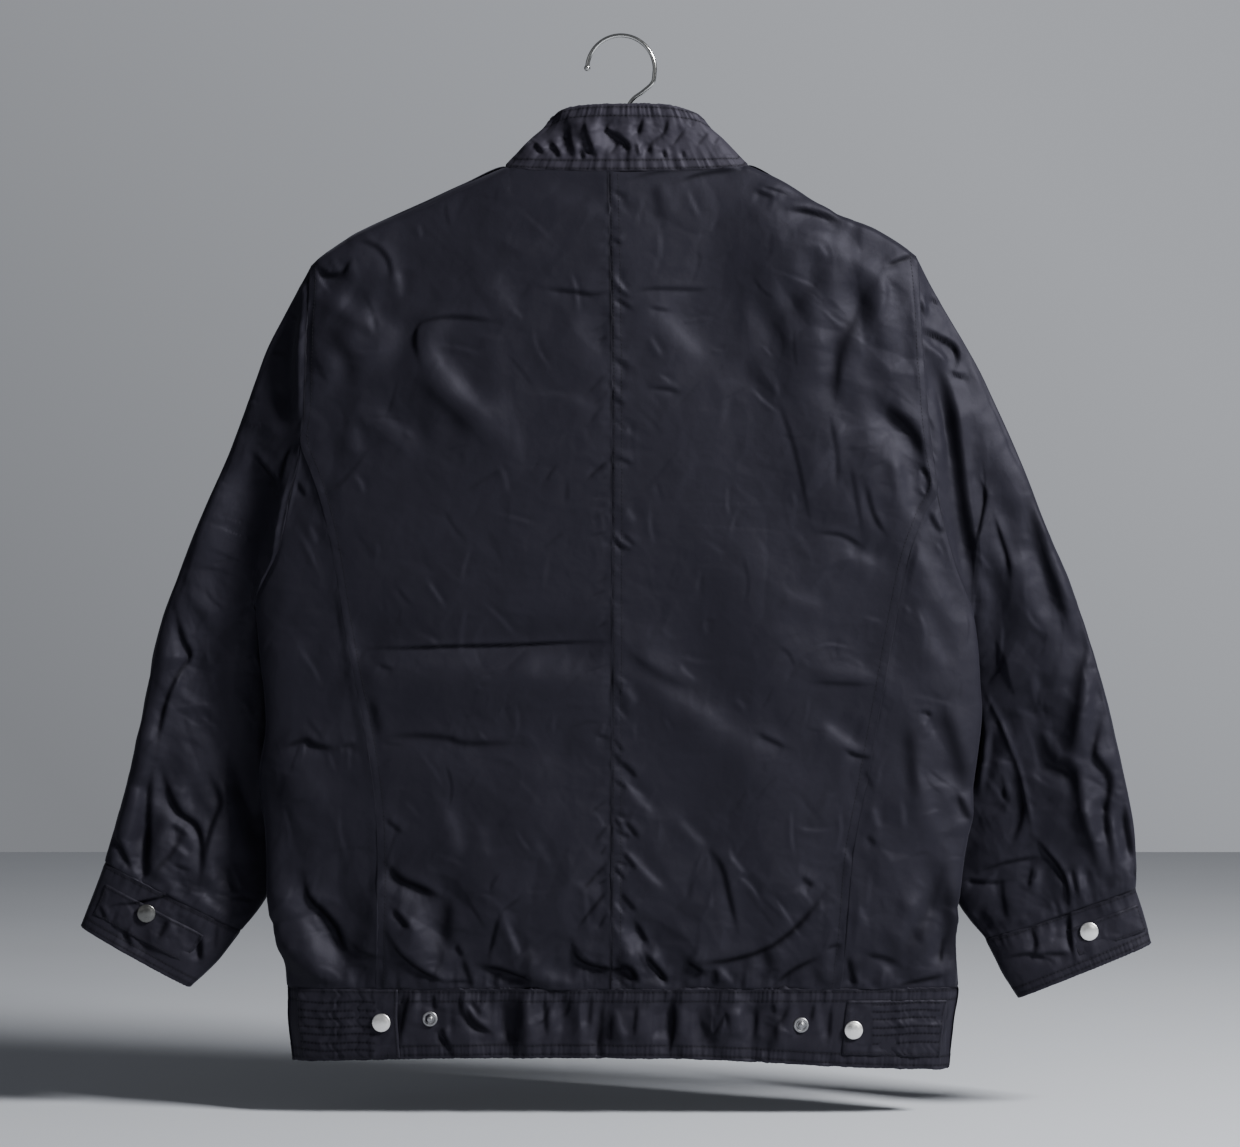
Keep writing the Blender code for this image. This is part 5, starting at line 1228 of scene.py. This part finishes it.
def stitchObject(name, places):
    centres = np.concatenate([centre for centre, turn in places])
    turns = np.concatenate([turn for centre, turn in places])
    verts = np.einsum("nij,kj->nki", turns, stitchVerts) + centres[:, None, :]
    size = len(stitchVerts)
    faces = [[index + step * size for index in face] for step in range(len(centres)) for face in stitchFaces]
    mesh = bpy.data.meshes.new(name)
    mesh.from_pydata(verts.reshape(-1, 3).tolist(), [], faces)
    made = linkMesh(name, mesh)
    mesh.materials.append(thread)
    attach(made, "jacket")
    return len(centres)


total = 0
for name, look in pieces.items():
    rows = [stitchPlaces(*insetRow(sheets[name], edge, inset))
            for edge, insets in look.get("stitches", {}).items() for inset in insets]
    if rows:
        total += stitchObject(f"{name}_stitches", rows)
say(f"{total} stitches")

# half profiles from the base up: radius and height in mm
snaps = {
    "cap": [(0, 0), (7, 0), (7.35, 0.15), (7.5, 0.5), (7.48, 0.9), (7.25, 1.25), (6.8, 1.5), (6.5, 1.55),
            (6.2, 1.62), (5.4, 1.95), (4.2, 2.35), (2.8, 2.62), (1.4, 2.76), (0, 2.8)],
    "stud": [(0, 0), (5.8, 0), (6.1, 0.2), (6.2, 0.6), (6.05, 1.05), (5.6, 1.35), (5.1, 1.5), (4.6, 1.45),
             (4.1, 1.2), (3.7, 0.8), (3.4, 0.6), (2.7, 0.6), (2.3, 0.9), (2.15, 1.6), (2.25, 2.4),
             (2, 2.95), (1.3, 3.2), (0, 3.25)],
    "turns": 48,
}


def nodeAxis(name):
    # Middle and direction of a round solid, read from its flat base.
    groups = {}
    for polygon in nodes[name].data.polygons:
        key = tuple(round(part, 2) for part in polygon.normal)
        groups.setdefault(key, []).append(polygon)
    base = max(groups.values(), key=lambda group: sum(polygon.area for polygon in group))
    area = sum(polygon.area for polygon in base)
    place = sum((Vector(polygon.center) * polygon.area for polygon in base), Vector()) / area
    return place, -Vector(base[0].normal)


def makeSnap(name, profile, material):
    place, facing = nodeAxis(name)
    bm = bmesh.new()
    verts = [bm.verts.new((radius / 1000, 0.0, height / 1000)) for radius, height in profile]
    edges = [bm.edges.new(pair) for pair in zip(verts, verts[1:])]
    bmesh.ops.spin(bm, geom=verts + edges, cent=(0, 0, 0), axis=(0, 0, 1), angle=2 * math.pi,
                   steps=snaps["turns"], use_merge=True)
    bmesh.ops.remove_doubles(bm, verts=bm.verts, dist=0.000001)
    bmesh.ops.recalc_face_normals(bm, faces=bm.faces)
    turn = Vector((0, 0, 1)).rotation_difference(facing).to_matrix().to_4x4()
    bmesh.ops.transform(bm, matrix=Matrix.Translation(place) @ turn, verts=bm.verts)
    made = addMesh(f"{name}_metal", bm)
    made.data.materials.append(material)
    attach(made, "jacket")
    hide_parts(name)


for side in sides:
    makeSnap(f"waist_snap_{side}", snaps["cap"], snapMetal)
    # The left cap wears the darker nickel as painted shade.
    makeSnap(f"cuff_snap_{side}", snaps["cap"], snapMetal if side == "right" else shadedCapMetal)
    makeSnap(f"waist_stud_{side}", snaps["stud"], studMetal)
say("snaps made")

zipLook = {
    "centre": 0.002, "half": 0.008, "share": 0.985, "cells": (420, 12), "endGap": 0.0006,
    "cut": (0.0162, 1.01),      # width in metres, and length as a multiple of what shows
    "toothPitch": 0.0026, "toothSize": (0.0030, 0.0013, 0.0016), "toothShift": 0.0009, "toothRise": 0.45,
    "toothTall": 0.62, "toothBevel": 0.00022, "toothEnds": (0.003, 0.002),
}


def makeTape():
    bm = bmesh.new()
    bm.from_mesh(nodes["zip_tape"].data)
    tree = BVHTree.FromBMesh(bm)
    bm.free()
    low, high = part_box("zip_tape")
    rows, cols = zipLook["cells"]
    gap = zipLook["endGap"]
    points = np.zeros((rows, cols, 3))
    last = high[1]
    for row in range(rows):
        z = high[2] - gap - (high[2] - low[2] - 2 * gap) * row / (rows - 1)
        for col in range(cols):
            x = zipLook["centre"] + zipLook["half"] * zipLook["share"] * (2 * col / (cols - 1) - 1)
            hit = tree.ray_cast(Vector((x, 0.2, z)), Vector((0, -1, 0)))[0]
            if hit is None:
                hit = tree.find_nearest(Vector((x, last, z)))[0]
            last = hit.y
            points[row, col] = (x, hit.y, z)
    made = sheetObject("zip_tape_cloth", points, 1)
    made.data.materials.append(zipTape)
    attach(made, "jacket")
    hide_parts("zip_tape")
    return points[:, cols // 2]


def makeTeeth(middle):
    reach = pathReach(middle)
    bm = bmesh.new()
    wide, thick, tall = zipLook["toothSize"]
    size = Matrix.Diagonal((wide, thick, tall * zipLook["toothTall"], 1))
    first, last = zipLook["toothEnds"]
    for index, spot in enumerate(np.arange(first, reach[-1] - last, zipLook["toothPitch"] / 2)):
        place = Vector([float(np.interp(spot, reach, middle[:, axis])) for axis in range(3)])
        place.x = zipLook["centre"] + (-1 if index % 2 else 1) * zipLook["toothShift"]
        place.y += thick * zipLook["toothRise"]
        bmesh.ops.create_cube(bm, size=1.0, matrix=Matrix.Translation(place) @ size)
    bmesh.ops.bevel(bm, geom=bm.edges[:], offset=zipLook["toothBevel"], affect="EDGES", segments=1,
                    profile=0.5, material=-1)
    teeth = addMesh("zip_teeth", bm)
    teeth.data.materials.append(zipMetal)
    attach(teeth, "jacket")


makeTeeth(makeTape())
say("zip made")

hook = {
    "radius": 0.0275, "wire": 0.00175, "start": 178, "end": -2, "turns": 64, "knob": 0.0026, "neckSteps": 41,
    "neck": [(0.0258, -0.0365), (0.0180, -0.0440), (0.0105, -0.0495), (0.0060, -0.0560),
             (0.0050, -0.0640), (0.0050, -0.0817)],
}


def hookPath():
    drop = -(hook["radius"] - hook["wire"])
    path = []
    for step in range(hook["turns"] + 1):
        angle = math.radians(hook["start"] + (hook["end"] - hook["start"]) * step / hook["turns"])
        path.append((hook["radius"] * math.cos(angle), drop + hook["radius"] * math.sin(angle)))
    neck = np.array([path[-1]] + hook["neck"])
    neck = cubicAlong(neck, np.linspace(0, len(neck) - 1, hook["neckSteps"]))
    return path + [tuple(place) for place in neck[1:]]


def makeHook():
    path = hookPath()
    bm = bmesh.new()
    previous = bmesh.ops.create_circle(bm, cap_ends=False, radius=hook["wire"], segments=20)["verts"]
    base = [vert.co.copy() for vert in previous]
    sideways = Vector((0, 1, 0))
    for index, (x, z) in enumerate(path):
        before, after = path[max(index - 1, 0)], path[min(index + 1, len(path) - 1)]
        ahead = Vector((after[0] - before[0], 0, after[1] - before[1])).normalized()
        turn = Matrix((sideways, ahead.cross(sideways), ahead)).transposed()
        if index:
            edges = {edge for vert in previous for edge in vert.link_edges
                     if edge.other_vert(vert) in previous}
            grown = bmesh.ops.extrude_edge_only(bm, edges=list(edges))["geom"]
            fresh = {vert for vert in grown if isinstance(vert, bmesh.types.BMVert)}
            previous = [next(edge.other_vert(vert) for edge in vert.link_edges
                             if edge.other_vert(vert) in fresh) for vert in previous]
        for vert, place in zip(previous, base):
            vert.co = turn @ place + Vector((x, 0, z))
    bmesh.ops.holes_fill(bm, edges=[edge for edge in bm.edges if edge.is_boundary], sides=0)
    x, z = path[0]
    bmesh.ops.create_uvsphere(bm, u_segments=24, v_segments=16, radius=hook["knob"],
                              matrix=Matrix.Translation((x, 0, z)))
    bmesh.ops.recalc_face_normals(bm, faces=bm.faces)
    made = addMesh("hook_wire", bm)
    made.data.materials.append(hookChrome)
    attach(made, "jacket")
    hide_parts("hanger_hook")


makeHook()
for name, material in (("zip_slider", zipMetal), ("zip_pull", zipMetal), ("hanger_arms", hangerPlastic)):
    nodes[name].data.materials.clear()
    nodes[name].data.materials.append(material)
say("hanger made")

studio = {
    "floorZ": -0.875, "floorHalf": 3.0, "floor": ((0.50, 0.52, 0.56, 1), (0.54, 0.56, 0.60, 1)),
    "aim": (0, 0, -0.42),
    "keyPlace": (1.95, -1.3, 1.15), "keySize": 0.75, "keyPower": 182.0,
    "fillPlace": (-1.6, -2.2, 0.3), "fillSize": 1.6, "fillPower": 2.5,
    "world": (0.86, 0.89, 0.96, 1), "worldPower": 0.12, "worldSeen": 0.36,
    "bright": (0.75, 0.0, 0.65), "edge": 0.14, "range": (0.72, 1.35),   # painted light: the sky that the camera sees is brighter to the upper right
    "distance": 3.2, "lens": 114.2, "centre": (-0.0008, -0.4360),
}


def makeWorld():
    world = bpy.data.worlds.new("studio")
    bpy.context.scene.world = world
    world.use_nodes = True
    tree = world.node_tree
    sky = tree.nodes["Background"]
    sky.inputs["Color"].default_value = studio["world"]
    # The camera sees the sky lighter than the light it gives, with painted light that grows to the upper
    # right.
    way = addNode(tree, "ShaderNodeTexCoord").outputs["Generated"]
    slope = addNode(tree, "ShaderNodeVectorMath", {0: way, 1: studio["bright"]}, operation="DOT_PRODUCT")
    low, high = (share * studio["worldSeen"] for share in studio["range"])
    tone = addNode(tree, "ShaderNodeMapRange", {"Value": slope.outputs["Value"], "From Min": -studio["edge"],
                                                "From Max": studio["edge"], "To Min": low, "To Max": high})
    ray = addNode(tree, "ShaderNodeLightPath").outputs["Is Camera Ray"]
    inputs = {"Factor": ray, 2: studio["worldPower"], 3: tone.outputs["Result"]}
    power = addNode(tree, "ShaderNodeMix", inputs, data_type="FLOAT")
    tree.links.new(power.outputs[0], sky.inputs["Strength"])


def makeStudio():
    bm = bmesh.new()
    bmesh.ops.create_grid(bm, x_segments=8, y_segments=8, size=studio["floorHalf"],
                          matrix=Matrix.Translation((0, 0, studio["floorZ"])))
    floor = addMesh("floor", bm)
    floor.data.materials.append(tonedMaterial("paleFloor", *studio["floor"], 3.0, 3.0, Roughness=0.85)[0])
    makeWorld()
    for name in ("key", "fill"):
        light = bpy.data.lights.new(name, "AREA")
        light.shape = "SQUARE"
        light.size = studio[name + "Size"]
        light.energy = studio[name + "Power"]
        lamp = bpy.data.objects.new(name, light)
        lamp.location = studio[name + "Place"]
        lamp.rotation_euler = (Vector(studio["aim"]) - lamp.location).to_track_quat("-Z", "Y").to_euler()
        bpy.context.collection.objects.link(lamp)
    camera = bpy.data.cameras.new("camera")
    camera.sensor_width = 36.0
    camera.lens = studio["lens"]
    view = bpy.data.objects.new("camera", camera)
    view.location = (studio["centre"][0], -studio["distance"], studio["centre"][1])
    view.rotation_euler = (math.pi / 2, 0, 0)
    bpy.context.collection.objects.link(view)
    bpy.context.scene.camera = view


makeStudio()
say("studio made")
